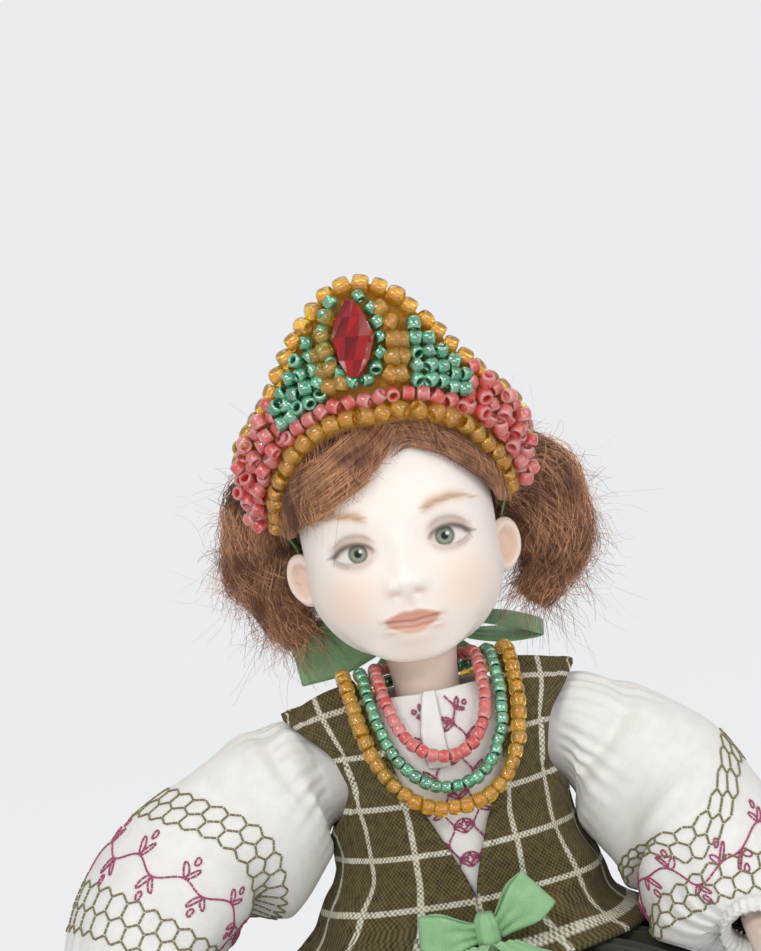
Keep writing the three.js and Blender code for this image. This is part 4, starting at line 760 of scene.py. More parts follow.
def build_beads(name, centres, axes, radius, look, body, slot, place, tilt=0.3):
    """Beads at their places on a thread; each sits a little askew, as sewn beads do."""
    form, quads, rim = bead_form()
    count = len(centres)
    axis = unit(unit(axes) + chance.normal(0, tilt, (count, 3)))
    side = unit(np.cross(axis, chance.normal(0, 1, (count, 3))))
    up = np.cross(axis, side)
    size = radius * chance.uniform(0.94, 1.06, (count, 1, 1))
    middle = centres + chance.normal(0, 0.05 * radius, (count, 3))
    x, y, z = (form[None, :, k:k + 1] for k in range(3))
    spun = x * side[:, None] + y * up[:, None] + z * axis[:, None]
    points = place((middle[:, None] + size * spun).reshape(-1, 3))
    starts = (np.arange(count) * len(form))[:, None, None]
    faces = [(starts + quads[None]).reshape(-1, 4)]
    # A random shade for each bead, and pale rims that are a painted reflection
    tone = np.clip(chance.uniform(0, 0.3, (count, 1)) + 0.8 * rim ** 2, 0, 1).ravel()
    marks = {"tone": tone}
    make_piece(f"{name}_beads", points, faces, look, body, slot, [name], marks=marks)


def thread_beads(path, radius, closed=False, pitch=BEAD_LENGTH):
    """Places and thread directions of beads along a dense path; the pitch is a share of their width."""
    loop = np.vstack([path, path[:1]]) if closed else path
    length = np.linalg.norm(np.diff(loop, axis=0), axis=1).sum()
    count = max(1, round(length / (2 * radius * pitch + 0.03)))
    stops = spaced(loop, 2 * count + 1)
    return stops[1::2], stops[2::2] - stops[:-2:2]


# Headdress: a stiff crescent over the brow, by an angle along its arch and a width up from its lower edge
CROWN_LIFT = 3.3
CROWN_HEIGHT = 22
CROWN_THICKNESS = 1.2
CROWN_FRONT = np.array([0, -0.7, 0.714])
CRYSTAL_HALF = np.array([3.4, 2.3, 5.9])
CRYSTAL_LEAN = math.radians(6)
# Middle of the crystal: angle and width
CRYSTAL_AT = (-2.5, 12.6)
RING_HALF = (8.8, 6.9)
# The headdress's beads are a size larger than the necklaces'
CROWN_SEED, CROWN_AMBER, RING_BEAD = 1.24, 1.5, 1.15
# Angles of the green columns beside the crystal and of the pink columns in the lobes
WEDGE_AT = (16.6, 20.6, 24.6, 28.6, 32.2)
LOBE_AT = np.arange(34.5, 84, 5.0)
# Crystal: heights of its rings of corners and their shares of its half width
CRYSTAL_LEVELS = ((-1, 0.3), (-0.55, 0.72), (0.06, 1), (0.56, 0.68), (1, 0.22))
CRYSTAL_SIDES = 10


def crown_width(degrees):
    """Width of the headdress at its outer edge: a fan over the brow and a rounded lobe at each temple."""
    a = np.abs(degrees)
    fan = (CROWN_HEIGHT - 6.2) * bell(a, 0, 27) + 6.2 + 2.2 * bell(a, 56, 18)
    return fan * (1 - (a / 92) ** 8)


def crown_foot(degrees):
    """Width at the lowest row of beads, which comes down over the temples."""
    return 0.4 - 2 * smoothstep(np.abs(degrees), 8, 50)


def crown_point(degrees, width, forward=0.0):
    def place(a, w):
        s, c = np.sin(a), np.cos(a)
        temple = np.stack([0.98 * s, 0.05 * np.abs(s), 0.06 * np.abs(s)], -1)
        d = unit(CROWN_FRONT * c[..., None] + temple)
        up = unit(np.stack([0.52 * s * np.abs(s) ** 0.3, np.full_like(s, 0.1), 1 - 0.45 * s * s], -1))
        return d * (head_radius(d) + CROWN_LIFT)[..., None] + HEAD_CENTRE + up * w[..., None]

    a, w = np.broadcast_arrays(np.radians(np.asarray(degrees, float)), np.asarray(width, float))
    p = place(a, w)
    along = place(a + 0.02, w) - place(a - 0.02, w)
    out = unit(np.cross(place(a, w + 0.1) - p, along))
    return p - out * forward


def crown_beads(name, rows, radius, look, slot, tilt, proud=(0.0,), pitch=BEAD_LENGTH, across=False):
    """Beads on rows of (angle, width) places on the headdress's face. Rows stand proud by turns, and a bead's
    hole runs along its row or across it."""
    stops, axes = [], []
    for k, row in enumerate(rows):
        degrees, width = np.array(row, float).T
        places = crown_point(degrees, width, CROWN_THICKNESS / 2 + 0.8 * radius + proud[k % len(proud)])
        at, way = thread_beads(smooth_path(places, 400), radius, pitch=pitch)
        stops.append(at)
        axes.append(np.cross(way, (0, 1, 0)) if across else way)
    build_beads(name, np.vstack(stops), np.vstack(axes), radius, look, "head", slot, in_head, tilt)


def build_crown(looks):
    degrees, share = np.meshgrid(np.linspace(-86, 86, 120), np.linspace(0, 1, 26), indexing="ij")
    low, high = crown_foot(degrees) - 0.7 * CROWN_AMBER, crown_width(degrees) - 1.3
    grid = crown_point(degrees, mix(low, np.maximum(high, low + 1), share))
    points, faces, _ = thick_sheet(grid, CROWN_THICKNESS, np.zeros((*grid.shape[:2], 2)))
    make_piece("crown_felt", in_head(points), faces, looks["felt"], "head", "felt", ["crown_backing"])
    pink = lambda a: crown_foot(a) + CROWN_AMBER + CROWN_SEED - 0.2
    edge = lambda a: crown_width(a) - 0.7 * CROWN_AMBER
    every = lambda reach, step: np.arange(-reach, reach + 1, step)
    amber, green, coral = (looks[k] for k in ("amber", "green", "pink"))
    base = [(a, crown_foot(a)) for a in every(80, 8)]
    crown_beads("crown_base_amber", [base], CROWN_AMBER, amber, "amber_glass", 0.3, pitch=0.92)
    row = [(a, pink(a)) for a in every(35, 7)]
    crown_beads("crown_row_pink", [row], CROWN_SEED, coral, "pink_glass", 0.8, (0.3,), 0.95)
    rim = [(a, edge(a)) for a in every(76, 4)]
    crown_beads("crown_edge_amber", [rim], CROWN_AMBER, amber, "amber_glass", 0.4, (-0.7,), 0.95)
    turn = np.radians(np.arange(-165, 166, 15))
    middle, gem = CRYSTAL_AT
    around = list(zip(middle + RING_HALF[0] * np.sin(turn), gem - RING_HALF[1] * np.cos(turn)))
    crown_beads("crown_ring_green", [around], RING_BEAD, green, "green_glass", 0.5, (0.5,), 1.0)
    for side, sign in SIDES:
        inner = [(7.6, pink(9) + 1.9), (10, 8), (10.8, 12), (9.6, 15.2), (6.4, edge(8) - 2.3)]
        outer = [(11.6, pink(12) + 1.9), (13.6, 8.4), (13.8, 12.4)]
        columns = [[(sign * a - 0.8, w) for a, w in column] for column in (inner, outer)]
        crown_beads(f"crown_{side}_amber", columns, CROWN_AMBER, amber, "amber_glass", 0.35,
                    proud=(0.2, -0.2), pitch=0.86, across=True)
        wedge = [[(sign * a, pink(a) + 1.2), (sign * a, edge(a) - 1.5)] for a in WEDGE_AT]
        crown_beads(f"crown_{side}_green", wedge, CROWN_SEED, green, "green_glass", 0.6,
                    proud=(0.3, 0.8, 0.4), pitch=0.86, across=True)
        lobe = [[(sign * a, crown_foot(a) + 1.8), (sign * a, edge(a) + 0.2)] for a in LOBE_AT]
        crown_beads(f"crown_{side}_pink", lobe, CROWN_SEED, coral, "pink_glass", 0.9, (0.5, 1.4), 0.88)
    build_crystal(looks["crystal"])


def build_crystal(look):
    """A long faceted bead: cut to a belt at the middle and to small flats at its tips."""
    seat = crown_point(*CRYSTAL_AT, CROWN_THICKNESS / 2 + 0.5)
    sides = CRYSTAL_SIDES
    rings = []
    for k, (height, share) in enumerate(CRYSTAL_LEVELS):
        turn = (np.arange(sides) + k / 2) * 2 * np.pi / sides
        ring = np.stack([share * np.cos(turn), share * np.sin(turn), np.full(sides, height)], -1)
        rings.append(ring * CRYSTAL_HALF)
    x, y, z = np.moveaxis(np.array(rings), -1, 0)
    lean, level = math.sin(CRYSTAL_LEAN), math.cos(CRYSTAL_LEAN)
    leaned = np.stack([x * level + z * lean, y, z * level - x * lean], -1)
    points = (leaned + seat - (0, CRYSTAL_HALF[1], 0)).reshape(-1, 3)
    quads = grid_quads(len(CRYSTAL_LEVELS), sides, wrap=True)
    facets = np.concatenate([quads[:, [0, 1, 2]], quads[:, [0, 2, 3]]])
    # A random shade for each facet: painted light and shade on the facets
    tone = np.repeat(np.random.default_rng(8).uniform(0, 1, len(facets)), 3)
    flats = [len(facets) * 3 + np.arange(sides)[None, ::-1], len(facets) * 3 + sides + np.arange(sides)[None]]
    corners = np.concatenate([points[facets].reshape(-1, 3), points[:sides], points[-sides:]])
    marks = {"tone": np.concatenate([tone, np.full(2 * sides, 0.4)])}
    faces = [np.arange(len(facets) * 3).reshape(-1, 3), *flats]
    make_piece("crown_gem", in_head(corners), faces, look, "head", "red_crystal", ["crown_crystal"],
               smooth=False, marks=marks)


# Dress: the vest's middle surface, share of the way from hem to shoulder, height, half width, half depth
SHOULDER_RIDGE = NECK_PIVOT + 6.5
SHOULDER_DROP = 4
VEST_ROWS = (
    (0, -1.2, 28.5, 24.6),
    (0.1, 4, 21.5, 17.2),
    (0.2, 9, 19.4, 15.2),
    (0.4, NECK_PIVOT - 20.7, 18.7, 14.7),
    (0.6, NECK_PIVOT - 11.7, 19.2, 14.8),
    (0.78, NECK_PIVOT - 3.7, 20.3, 12.6),
    (0.9, NECK_PIVOT + 2, 21, 8.2),
    (1, SHOULDER_RIDGE, 21.3, 1.1),
)
VEST_THICKNESS = 0.9


def torso_point(angle, t, inset=0.0):
    """Angle 0 is the front, and 90 degrees the doll's left side."""
    half_width, half_depth = keyed(VEST_ROWS, 2, t), keyed(VEST_ROWS, 3, t)
    x, y = (half_width - inset) * np.sin(angle), -(half_depth - inset) * np.cos(angle)
    drop = SHOULDER_DROP * (x / half_width) ** 2 * smoothstep(t, 0.72, 1)
    return np.stack([x, y, keyed(VEST_ROWS, 1, t) - drop], -1)


# Necklaces: half width at the shoulders, lowest bead in front and behind from the neck pivot, bead radius
NECK_CLEARANCE = NECK_RADIUS + 2.9
NECKLACES = (
    ("necklace_pink", NECK_CLEARANCE, -7.2, 5.3, SEED_BEAD, "pink", "pink_glass"),
    ("necklace_green", 10.4, -11.9, 2.7, SEED_BEAD, "green", "green_glass"),
    ("necklace_amber", 13.2, -15.3, -0.1, AMBER_BEAD, "amber", "amber_glass"),
)


def necklace_half(half_width, lowest, radius, facing, steps):
    lift = VEST_THICKNESS / 2 + radius + 0.3
    q = np.linspace(-1, 1, steps + 1)
    ridge = SHOULDER_RIDGE - 0.4
    height = lowest + (ridge - lowest) * np.abs(q) ** 2.1
    x = half_width * np.sin(q * np.pi / 2)
    shares = np.linspace(0, 1, 2000)
    t = np.interp(height, keyed(VEST_ROWS, 1, shares), shares)
    across = np.minimum(np.abs(x) / keyed(VEST_ROWS, 2, t), 1)
    depth = keyed(VEST_ROWS, 3, t) * np.sqrt(1 - across ** 2) + lift
    clear = np.sqrt(np.maximum(NECK_CLEARANCE ** 2 - x * x, 0))
    return np.stack([x, facing * np.maximum(depth, clear), height + 0.4 * lift], -1)


def build_necklaces(looks):
    for name, half_width, front, back, radius, look, slot in NECKLACES:
        before = necklace_half(half_width, NECK_PIVOT + front, radius, -1, 12)
        behind = necklace_half(half_width, NECK_PIVOT + back, radius, 1, 6)[::-1][1:-1]
        path = smooth_path(np.vstack([before, behind]), 900, closed=True)
        places, ways = thread_beads(path, radius, closed=True)
        build_beads(name, places, ways, radius, looks[look], "base", slot, in_figure, 0.12)


# Hair: mohair combed from a parting over the brow, with a puff of curls behind each ear
PARTING = 12
# Degrees round the head from its front and degrees down from its top
HAIRLINE = (
    (-180, 140), (-148, 133), (-128, 108), (-108, 92), (-92, 86),
    (-72, 87), (-36, 80.5), (-16, 72), (-3, 65), (6, 57.5),
    (PARTING, 54), (20, 57), (32, 62.5), (49, 73.5), (75, 88),
    (92, 86), (108, 92), (128, 108), (148, 133), (180, 140),
)
# Each puff from its top down: way out from the head's side, back and up, and its radius there
PUFFS = {
    "right": (
        (-1.6, 13, 38.5, 3), (4.4, 12.5, 35, 5), (7.4, 11, 28, 5.4),
        (6.4, 11, 21, 4.8), (4.4, 11.5, 15.5, 3.4), (2.9, 12, 12.6, 1.8),
    ),
    "left": (
        (-1.6, 13, 38.5, 3), (4.4, 12.5, 34.5, 4.8), (8.8, 11, 28, 5.4),
        (8.8, 11, 21.5, 5.2), (6, 11.5, 16, 3.8), (3.2, 12, 12.8, 2),
    ),
}
PUFF_ROWS, PUFF_SIDES = 60, 36
# Radii: real mohair is about 0.04 mm through, and strands are drawn thicker so that they show
STRAND, FLYAWAY = 0.055, 0.026
# Strands of each kind, and how far round the head each fringe is combed
FRINGE_STRANDS = {"right": 2100, "left": 1500}
FRINGE_REACH = {"right": 106, "left": 94}
TOP_STRANDS, BACK_STRANDS = 700, 1700
CURL_STRANDS, LOCK_STRANDS, TANGLE_STRANDS = 1900, 1300, 1900
PUFF_FLYAWAYS, HEAD_FLYAWAYS = 300, 90


def wig_lift(azimuth, polar):
    """Height of the wig's top over the head, by degrees round and down."""
    behind = smoothstep(np.abs(azimuth), 85, 150) * smoothstep(polar, 20, 90)
    return 1.7 + mix(0.9, 4.6, behind)


def mohair(name, dark, light):
    """Dyed mohair: fine and silky, so each strand has a long soft gleam and its own shade."""
    look, tree, shader = new_look(name)
    tone = add(tree, "ShaderNodeAttribute", attribute_name="tone").outputs["Fac"]
    place = add(tree, "ShaderNodeTexCoord").outputs["Object"]
    patch = add(tree, "ShaderNodeTexNoise", {"Vector": place, "Scale": 1 / (7 * MM), "Detail": 3.0})
    lock = add(tree, "ShaderNodeMapRange", {"Value": patch.outputs["Fac"], 1: 0.36, 2: 0.64, 3: 0.2, 4: 0.9})
    share = add(tree, "ShaderNodeMath", {0: tone, 1: lock.outputs[0]}, operation="MULTIPLY")
    spread = add(tree, "ShaderNodeMapRange", {"Value": share.outputs[0], 1: 0.03, 2: 0.54})
    tree.links.new(blended(tree, spread.outputs[0], dark, light), shader.inputs["Base Color"])
    set_inputs(shader, Roughness=0.5, Sheen_Weight=0.15)
    return look


def build_strands(name, paths, radius, look):
    """One piece of many strands that thin towards their tips, each with its own shade."""
    count, steps = paths.shape[:2]
    taper = np.linspace(1, 0.45, steps)
    points, faces = tubes(paths, radius * chance.uniform(0.75, 1.25, (count, 1)) * taper, 3)
    tone = np.repeat(chance.uniform(0, 1, count), steps * 3)
    make_piece(name, in_head(points), faces, look, "head", "mohair", marks={"tone": tone})


def combed_strands(count, sign, reach, locks=46, steps=15):
    """Strands combed from the parting round to one temple, in locks."""
    lock = chance.integers(0, locks, count)
    above = np.maximum(22 * chance.uniform(0, 1, locks)[lock] ** 0.6 + chance.normal(0, 1.6, count), 0.1)
    start = chance.uniform(-4, 0.45 * reach, locks)[lock] + chance.normal(0, 2.5, count)
    end = reach + chance.normal(0, 10, count)
    wave = chance.uniform(0, 1, locks)[lock] + chance.normal(0, 0.06, count)
    t = np.linspace(0, 1, steps)
    turn = mix(start[:, None], end[:, None], t)
    azimuth = PARTING + sign * turn
    drift = 1.5 * np.sin(2 * np.pi * (1.8 * t + wave[:, None])) + chance.normal(0, 2.2, count)[:, None] * t
    line = keyed(HAIRLINE, 1, azimuth)
    polar = line - above[:, None] * (1 - 0.2 * t) + drift * (0.3 + t)
    polar = np.minimum(polar, line + chance.exponential(2.4, count)[:, None] * (0.4 + t))
    height = 0.35 + 1.5 * np.sqrt(np.clip(above, 0, 25) / 20) + np.abs(chance.normal(0, 0.3, count))
    lift = height[:, None] + 0.8 * np.sin(np.pi * np.clip(t * 1.2, 0, 1))
    return head_point(np.radians(azimuth), np.radians(polar), lift)


def fallen_strands(count, low, high, locks=90, steps=15):
    """Strands that fall from the top of the head to the hairline, between two angles round it."""
    lock = chance.integers(0, locks, count)
    azimuth = (chance.uniform(low, high, locks)[lock] + chance.normal(0, 2.2, count))[:, None]
    phase = chance.uniform(0, 1, locks)[lock][:, None]
    t = np.linspace(0, 1, steps)
    start = chance.uniform(4, 40, count)[:, None]
    azimuth = azimuth + 4 * np.sin(2 * np.pi * (1.3 * t + phase)) * t
    round_head = (azimuth + 180) % 360 - 180
    polar = mix(start, keyed(HAIRLINE, 1, round_head) + chance.normal(0, 3, count)[:, None], t)
    lift = wig_lift(round_head, polar) + chance.normal(0, 0.35, count)[:, None]
    lift = lift + 0.35 * np.sin(9 * t + 9 * phase)
    return head_point(np.radians(azimuth), np.radians(polar), lift)


def puff_line(side, sign, count):
    rows = np.array(PUFFS[side])
    centres = rows[:, :3] * (sign, 1, 1) + (sign * HEAD_HALF_WIDTH, 0, 0)
    path = smooth_path(centres, count)
    keys = np.linspace(0, 1, len(rows))
    down = np.linspace(0, 1, count)
    return path, np.interp(down, keys, rows[:, 3]) * (1 + 0.1 * np.sin(17 * down + 2 * sign))


def curled_strands(count, side, sign, reach, locks=70, steps=16):
    """Strands that run down a puff in loose wavy locks, out to a share of its radius."""
    path, radius = puff_line(side, sign, 80)
    aside, up = frames_along(path, (0, 1, 0))
    lock = chance.integers(0, locks, count)

    def spread(low, high, jitter):
        return chance.uniform(low, high, locks)[lock] + chance.normal(0, jitter, count)

    angle, share = spread(0, 2 * np.pi, 0.2), np.clip(spread(reach - 0.4, reach, 0.06), 0.2, 1.5)
    start, end = np.clip(spread(-0.2, 0.4, 0.04), 0, 1), np.clip(spread(0.55, 1.2, 0.08), 0, 1)
    twist, phase, wave = spread(-1.5, 1.5, 0.15), spread(0, 6.3, 0.3), spread(0.3, 1.0, 0.1)
    frizz, own = chance.exponential(0.3, (count, 1)), chance.uniform(0, 6.3, (count, 1))
    t = np.linspace(0, 1, steps)
    s = mix(start[:, None], end[:, None], t)
    place = s * (len(path) - 1)
    at = lambda values: np.stack([np.interp(place, np.arange(len(path)), values[:, k]) for k in range(3)], -1)
    swing = angle[:, None] + twist[:, None] * t + 0.3 * np.sin(11 * s + phase[:, None])
    swing = swing + 0.1 * frizz * np.sin(9 * t + own)
    flare = 1 + 0.4 * smoothstep(t, 0.6, 1) * chance.uniform(-0.7, 1.2, count)[:, None]
    out = np.interp(place, np.arange(len(path)), radius) * share[:, None] * flare
    out = out + wave[:, None] * np.sin(14 * s + 2 * phase[:, None]) + frizz * np.sin(13 * t + own)
    ring = at(aside) * np.cos(swing)[..., None] + at(up) * np.sin(swing)[..., None]
    return at(path) + ring * out[..., None]


def tangled_strands(count, side, sign, steps=17):
    """Short curls that lie every way over a puff, so that its outline is soft."""
    path, radius = puff_line(side, sign, 80)
    aside, up = frames_along(path, (0, 1, 0))
    step, angle = chance.integers(2, 78, count), chance.uniform(0, 2 * np.pi, count)
    ring = aside[step] * np.cos(angle)[:, None] + up[step] * np.sin(angle)[:, None]
    root = path[step] + ring * (radius[step] * chance.uniform(0.72, 1.08, count))[:, None]
    way = unit(np.gradient(path, axis=0)[step]) * chance.choice((-1, 1), (count, 1))
    way = unit(way + chance.normal(0, 0.6, (count, 3)) + 0.3 * ring)
    cross = unit(np.cross(way, ring))
    t = np.linspace(0, 1, steps)[None, :, None]
    each = lambda low, high: chance.uniform(low, high, (count, 1, 1))
    turn, reach, wide = each(3, 9) * t + each(0, 6.3), each(3, 9), each(0.3, 1.2)
    curl = (cross[:, None] * np.cos(turn) + 0.7 * ring[:, None] * np.sin(turn)) * wide
    return root[:, None] + way[:, None] * reach * t + curl - np.array([0, 0, 0.22]) * reach * t * t


def flyaway_strands(roots, out, length, steps=16):
    """Loose hairs that spring out from their roots, bend over and curl."""
    count = len(roots)
    way = unit(out + chance.normal(0, 0.7, (count, 3)) + (0, 0, -0.2))
    bend = unit(chance.normal(0, 1, (count, 3)) + (0, 0, -0.7))
    cross = unit(np.cross(way, bend))
    each = lambda low, high: chance.uniform(low, high, (count, 1, 1))
    reach = length * each(0.25, 1.3)
    t = np.linspace(0, 1, steps)[None, :, None]
    turn, curl = each(5, 13) * t + each(0, 6.3), each(0.04, 0.16) * np.sin(np.pi * t / 2)
    wave = cross[:, None] * curl * np.sin(turn) + bend[:, None] * curl * np.cos(turn)
    return roots[:, None] + reach * (way[:, None] * t + bend[:, None] * 0.9 * t * t + wave)


def face_wisps(steps=20):
    """A few fine hairs that have come loose over the brow and the right temple."""
    azimuth = np.array([-9, -20, -27, -34, -41, 24.0])[:, None]
    drift = np.array([-9, -17, -14, -9, -6, 7.0])[:, None]
    fall = np.array([9, 34, 20, 14, 10, 7.0])[:, None]
    t = np.linspace(0, 1, steps)
    turn = azimuth + drift * t + 2 * np.sin(3 * t + azimuth)
    polar = keyed(HAIRLINE, 1, azimuth) - 3 + fall * t
    return head_point(np.radians(turn), np.radians(polar), 0.9 + 0.9 * np.sin(np.pi * t))


def build_wig_base(look):
    """The cap of close hair under the strands, down to the hairline."""
    turns = np.linspace(-180, 180, 120, endpoint=False)
    share, azimuth = np.meshgrid(np.linspace(0.03, 1, 40), turns, indexing="ij")
    polar = share * (keyed(HAIRLINE, 1, azimuth) - 8 * smoothstep(110 - np.abs(azimuth), 0, 40))
    edge = 1 - 0.75 * smoothstep(share, 0.85, 1)
    grid = head_point(np.radians(azimuth), np.radians(polar), (wig_lift(azimuth, polar) - 0.7) * edge)
    inner = head_point(np.radians(azimuth), np.radians(polar), 0.15)
    rows, columns = polar.shape
    ends = np.arange(columns)
    total = rows * columns
    rim = rim_quads(total - columns, columns, total)
    quads = grid_quads(rows, columns, wrap=True)
    faces = [quads, quads[:, ::-1] + total, rim, ends[None, ::-1], total + ends[None]]
    points = np.concatenate([grid.reshape(-1, 3), inner.reshape(-1, 3)])
    tone = np.tile(np.random.default_rng(3).uniform(0.2, 0.6, total), 2)
    make_piece("wig_base", in_head(points), faces, look, "head", "mohair", ["wig_cap"], marks={"tone": tone})


def build_puff_base(side, sign, look):
    """The lumpy core of one puff, under its curls."""
    path, radius = puff_line(side, sign, PUFF_ROWS)
    aside, up = frames_along(path, (0, 1, 0))
    turn = full_turn(PUFF_SIDES)
    lumps = 0.7 + 0.12 * np.sin(3 * turn[None] + 9 * np.linspace(0, 1, PUFF_ROWS)[:, None])
    ring = aside[:, None] * np.cos(turn)[:, None] + up[:, None] * np.sin(turn)[:, None]
    points = in_head(path[:, None] + ring * (radius[:, None] * lumps)[..., None])
    faces = tube_faces(PUFF_ROWS, PUFF_SIDES)
    marks = {"tone": np.full(PUFF_ROWS * PUFF_SIDES, 0.35)}
    make_piece(f"puff_{side}_base", points, faces, look, "head", "mohair", [f"hair_{side}_puff"], marks=marks)


def puff_flyaways(side, sign):
    """Loose hairs that stand out of one puff."""
    path, radius = puff_line(side, sign, PUFF_ROWS)
    aside, up = frames_along(path, (0, 1, 0))
    step = chance.integers(2, PUFF_ROWS - 2, PUFF_FLYAWAYS)
    angle = chance.uniform(0, 2 * np.pi, PUFF_FLYAWAYS)
    out = aside[step] * np.cos(angle)[:, None] + up[step] * np.sin(angle)[:, None]
    roots = path[step] + out * radius[step][:, None] * 0.9
    return flyaway_strands(roots, out + (sign * 0.4, 0, 0), 8)


def head_flyaways():
    """Loose hairs over the sides of the head."""
    azimuth = chance.choice((-1, 1), HEAD_FLYAWAYS) * chance.uniform(72, 118, HEAD_FLYAWAYS)
    polar = chance.uniform(40, 80, HEAD_FLYAWAYS)
    roots = head_point(np.radians(azimuth), np.radians(polar), 2.0)
    return flyaway_strands(roots, unit(roots - HEAD_CENTRE), 6)


def build_hair(base, strand):
    build_wig_base(base)
    for side, sign in SIDES:
        fringe = combed_strands(FRINGE_STRANDS[side], sign, FRINGE_REACH[side])
        build_strands(f"hair_{side}_fringe", fringe, STRAND, strand)
    build_strands("hair_top", fallen_strands(TOP_STRANDS, -88, 88), STRAND, strand)
    build_strands("hair_back", fallen_strands(BACK_STRANDS, 84, 276), STRAND, strand)
    loose = []
    for side, sign in SIDES:
        build_puff_base(side, sign, base)
        build_strands(f"hair_{side}_curls", curled_strands(CURL_STRANDS, side, sign, 1.0), STRAND, strand)
        build_strands(f"hair_{side}_locks", curled_strands(LOCK_STRANDS, side, sign, 1.28), STRAND, strand)
        tangled = tangled_strands(TANGLE_STRANDS, side, sign)
        build_strands(f"hair_{side}_tangle", tangled, 0.9 * STRAND, strand)
        loose.append(puff_flyaways(side, sign))
    loose.append(head_flyaways())
    build_strands("hair_flyaways", np.concatenate(loose), FLYAWAY, strand)
    build_strands("hair_wisps", face_wisps(), 1.4 * FLYAWAY, strand)


# Cloth: patterns are drawn from places on the flat cloth in millimetres, kept at each point as "cloth"
CHECK_ACROSS, CHECK_UP = 7.6, 8.2
CHECK_LINE = 0.85
STRIPE_BLUR = 0.08
WEAVE_WARP, WEAVE_WEFT = 0.32, 0.4
RIB_PITCH = 0.36


def cloth_place(tree):
    place = add(tree, "ShaderNodeAttribute", attribute_name="cloth").outputs["Vector"]
    parts = add(tree, "ShaderNodeSeparateXYZ", {0: place}).outputs
    return place, parts["X"], parts["Y"]


def stripe(tree, value, pitch, width):
    """1 on stripes of a width at every pitch along a value, 0 between them."""
    near = add(tree, "ShaderNodeMath", {0: value, 1: pitch / 2}, operation="PINGPONG").outputs[0]
    low, high = width / 2 - STRIPE_BLUR, width / 2 + STRIPE_BLUR
    return add(tree, "ShaderNodeMapRange", {"Value": near, 1: low, 2: high, 3: 1.0, 4: 0.0}).outputs[0]


def olive_check():
    """Plain-woven wool and linen in olive with a cream windowpane check: coarse threads that catch the
    light one by one, cream ones that go under every other olive one. It is drawn a little coarse to show."""
    look, tree, shader = new_look("olive_check_weave")
    place, across, up = cloth_place(tree)
    threads = {0: place, 1: (1 / WEAVE_WARP, 1 / WEAVE_WEFT, 1)}
    scaled = add(tree, "ShaderNodeVectorMath", threads, operation="MULTIPLY").outputs[0]
    over = add(tree, "ShaderNodeTexChecker", {"Vector": scaled, "Scale": 1.0}).outputs["Fac"]
    slub = add(tree, "ShaderNodeTexNoise", {"Vector": place, "Scale": 0.9, "Detail": 4.0}).outputs["Fac"]
    mottle = add(tree, "ShaderNodeMath", {0: over, 1: 0.45, 2: slub}, operation="MULTIPLY_ADD").outputs[0]
    shade = add(tree, "ShaderNodeMapRange", {"Value": mottle, 1: 0.25, 2: 1.05}).outputs[0]
    olive = blended(tree, shade, "#150F05", "#665931")
    down, level = stripe(tree, across, CHECK_ACROSS, CHECK_LINE), stripe(tree, up, CHECK_UP, CHECK_LINE)
    line = add(tree, "ShaderNodeMath", {0: down, 1: level}, operation="MAXIMUM").outputs[0]
    dash = add(tree, "ShaderNodeMapRange", {"Value": mottle, 1: 0.35, 2: 0.85, 3: 0.12, 4: 1.0}).outputs[0]
    cream = add(tree, "ShaderNodeMath", {0: line, 1: dash}, operation="MULTIPLY").outputs[0]
    both = add(tree, "ShaderNodeMix", {0: cream, 6: olive, 7: colour("#D8D3BF")}, data_type="RGBA")
    tree.links.new(both.outputs[2], shader.inputs["Base Color"])
    bump = add(tree, "ShaderNodeBump", {"Height": mottle, "Strength": 0.7, "Distance": 0.25 * MM})
    tree.links.new(bump.outputs[0], shader.inputs["Normal"])
    set_inputs(shader, Roughness=0.9, Sheen_Weight=0.03)
    return look


def fine_weave(name, dark, light, pitch):
    """Thin plain-woven cotton: matt and even, with fine threads, drawn wider than real ones to show."""
    look, tree, shader = new_look(name)
    place, across, up = cloth_place(tree)
    waves = []
    for value in (across, up):
        turn = add(tree, "ShaderNodeMath", {0: value, 1: 2 * math.pi / pitch}, operation="MULTIPLY")
        waves.append(add(tree, "ShaderNodeMath", {0: turn.outputs[0]}, operation="SINE").outputs[0])
    weave = add(tree, "ShaderNodeMath", {0: waves[0], 1: waves[1]}, operation="MULTIPLY").outputs[0]
    cloud = add(tree, "ShaderNodeTexNoise", {"Vector": place, "Scale": 0.35, "Detail": 4.0}).outputs["Fac"]
    share = add(tree, "ShaderNodeMath", {0: weave, 1: 0.2, 2: cloud}, operation="MULTIPLY_ADD").outputs[0]
    spread = add(tree, "ShaderNodeMapRange", {"Value": share, 1: 0.2, 2: 0.8}).outputs[0]
    tree.links.new(blended(tree, spread, dark, light), shader.inputs["Base Color"])
    bump = add(tree, "ShaderNodeBump", {"Height": weave, "Strength": 0.25, "Distance": 0.06 * MM})
    tree.links.new(bump.outputs[0], shader.inputs["Normal"])
    set_inputs(shader, Roughness=0.85, Sheen_Weight=0.1)
    return look


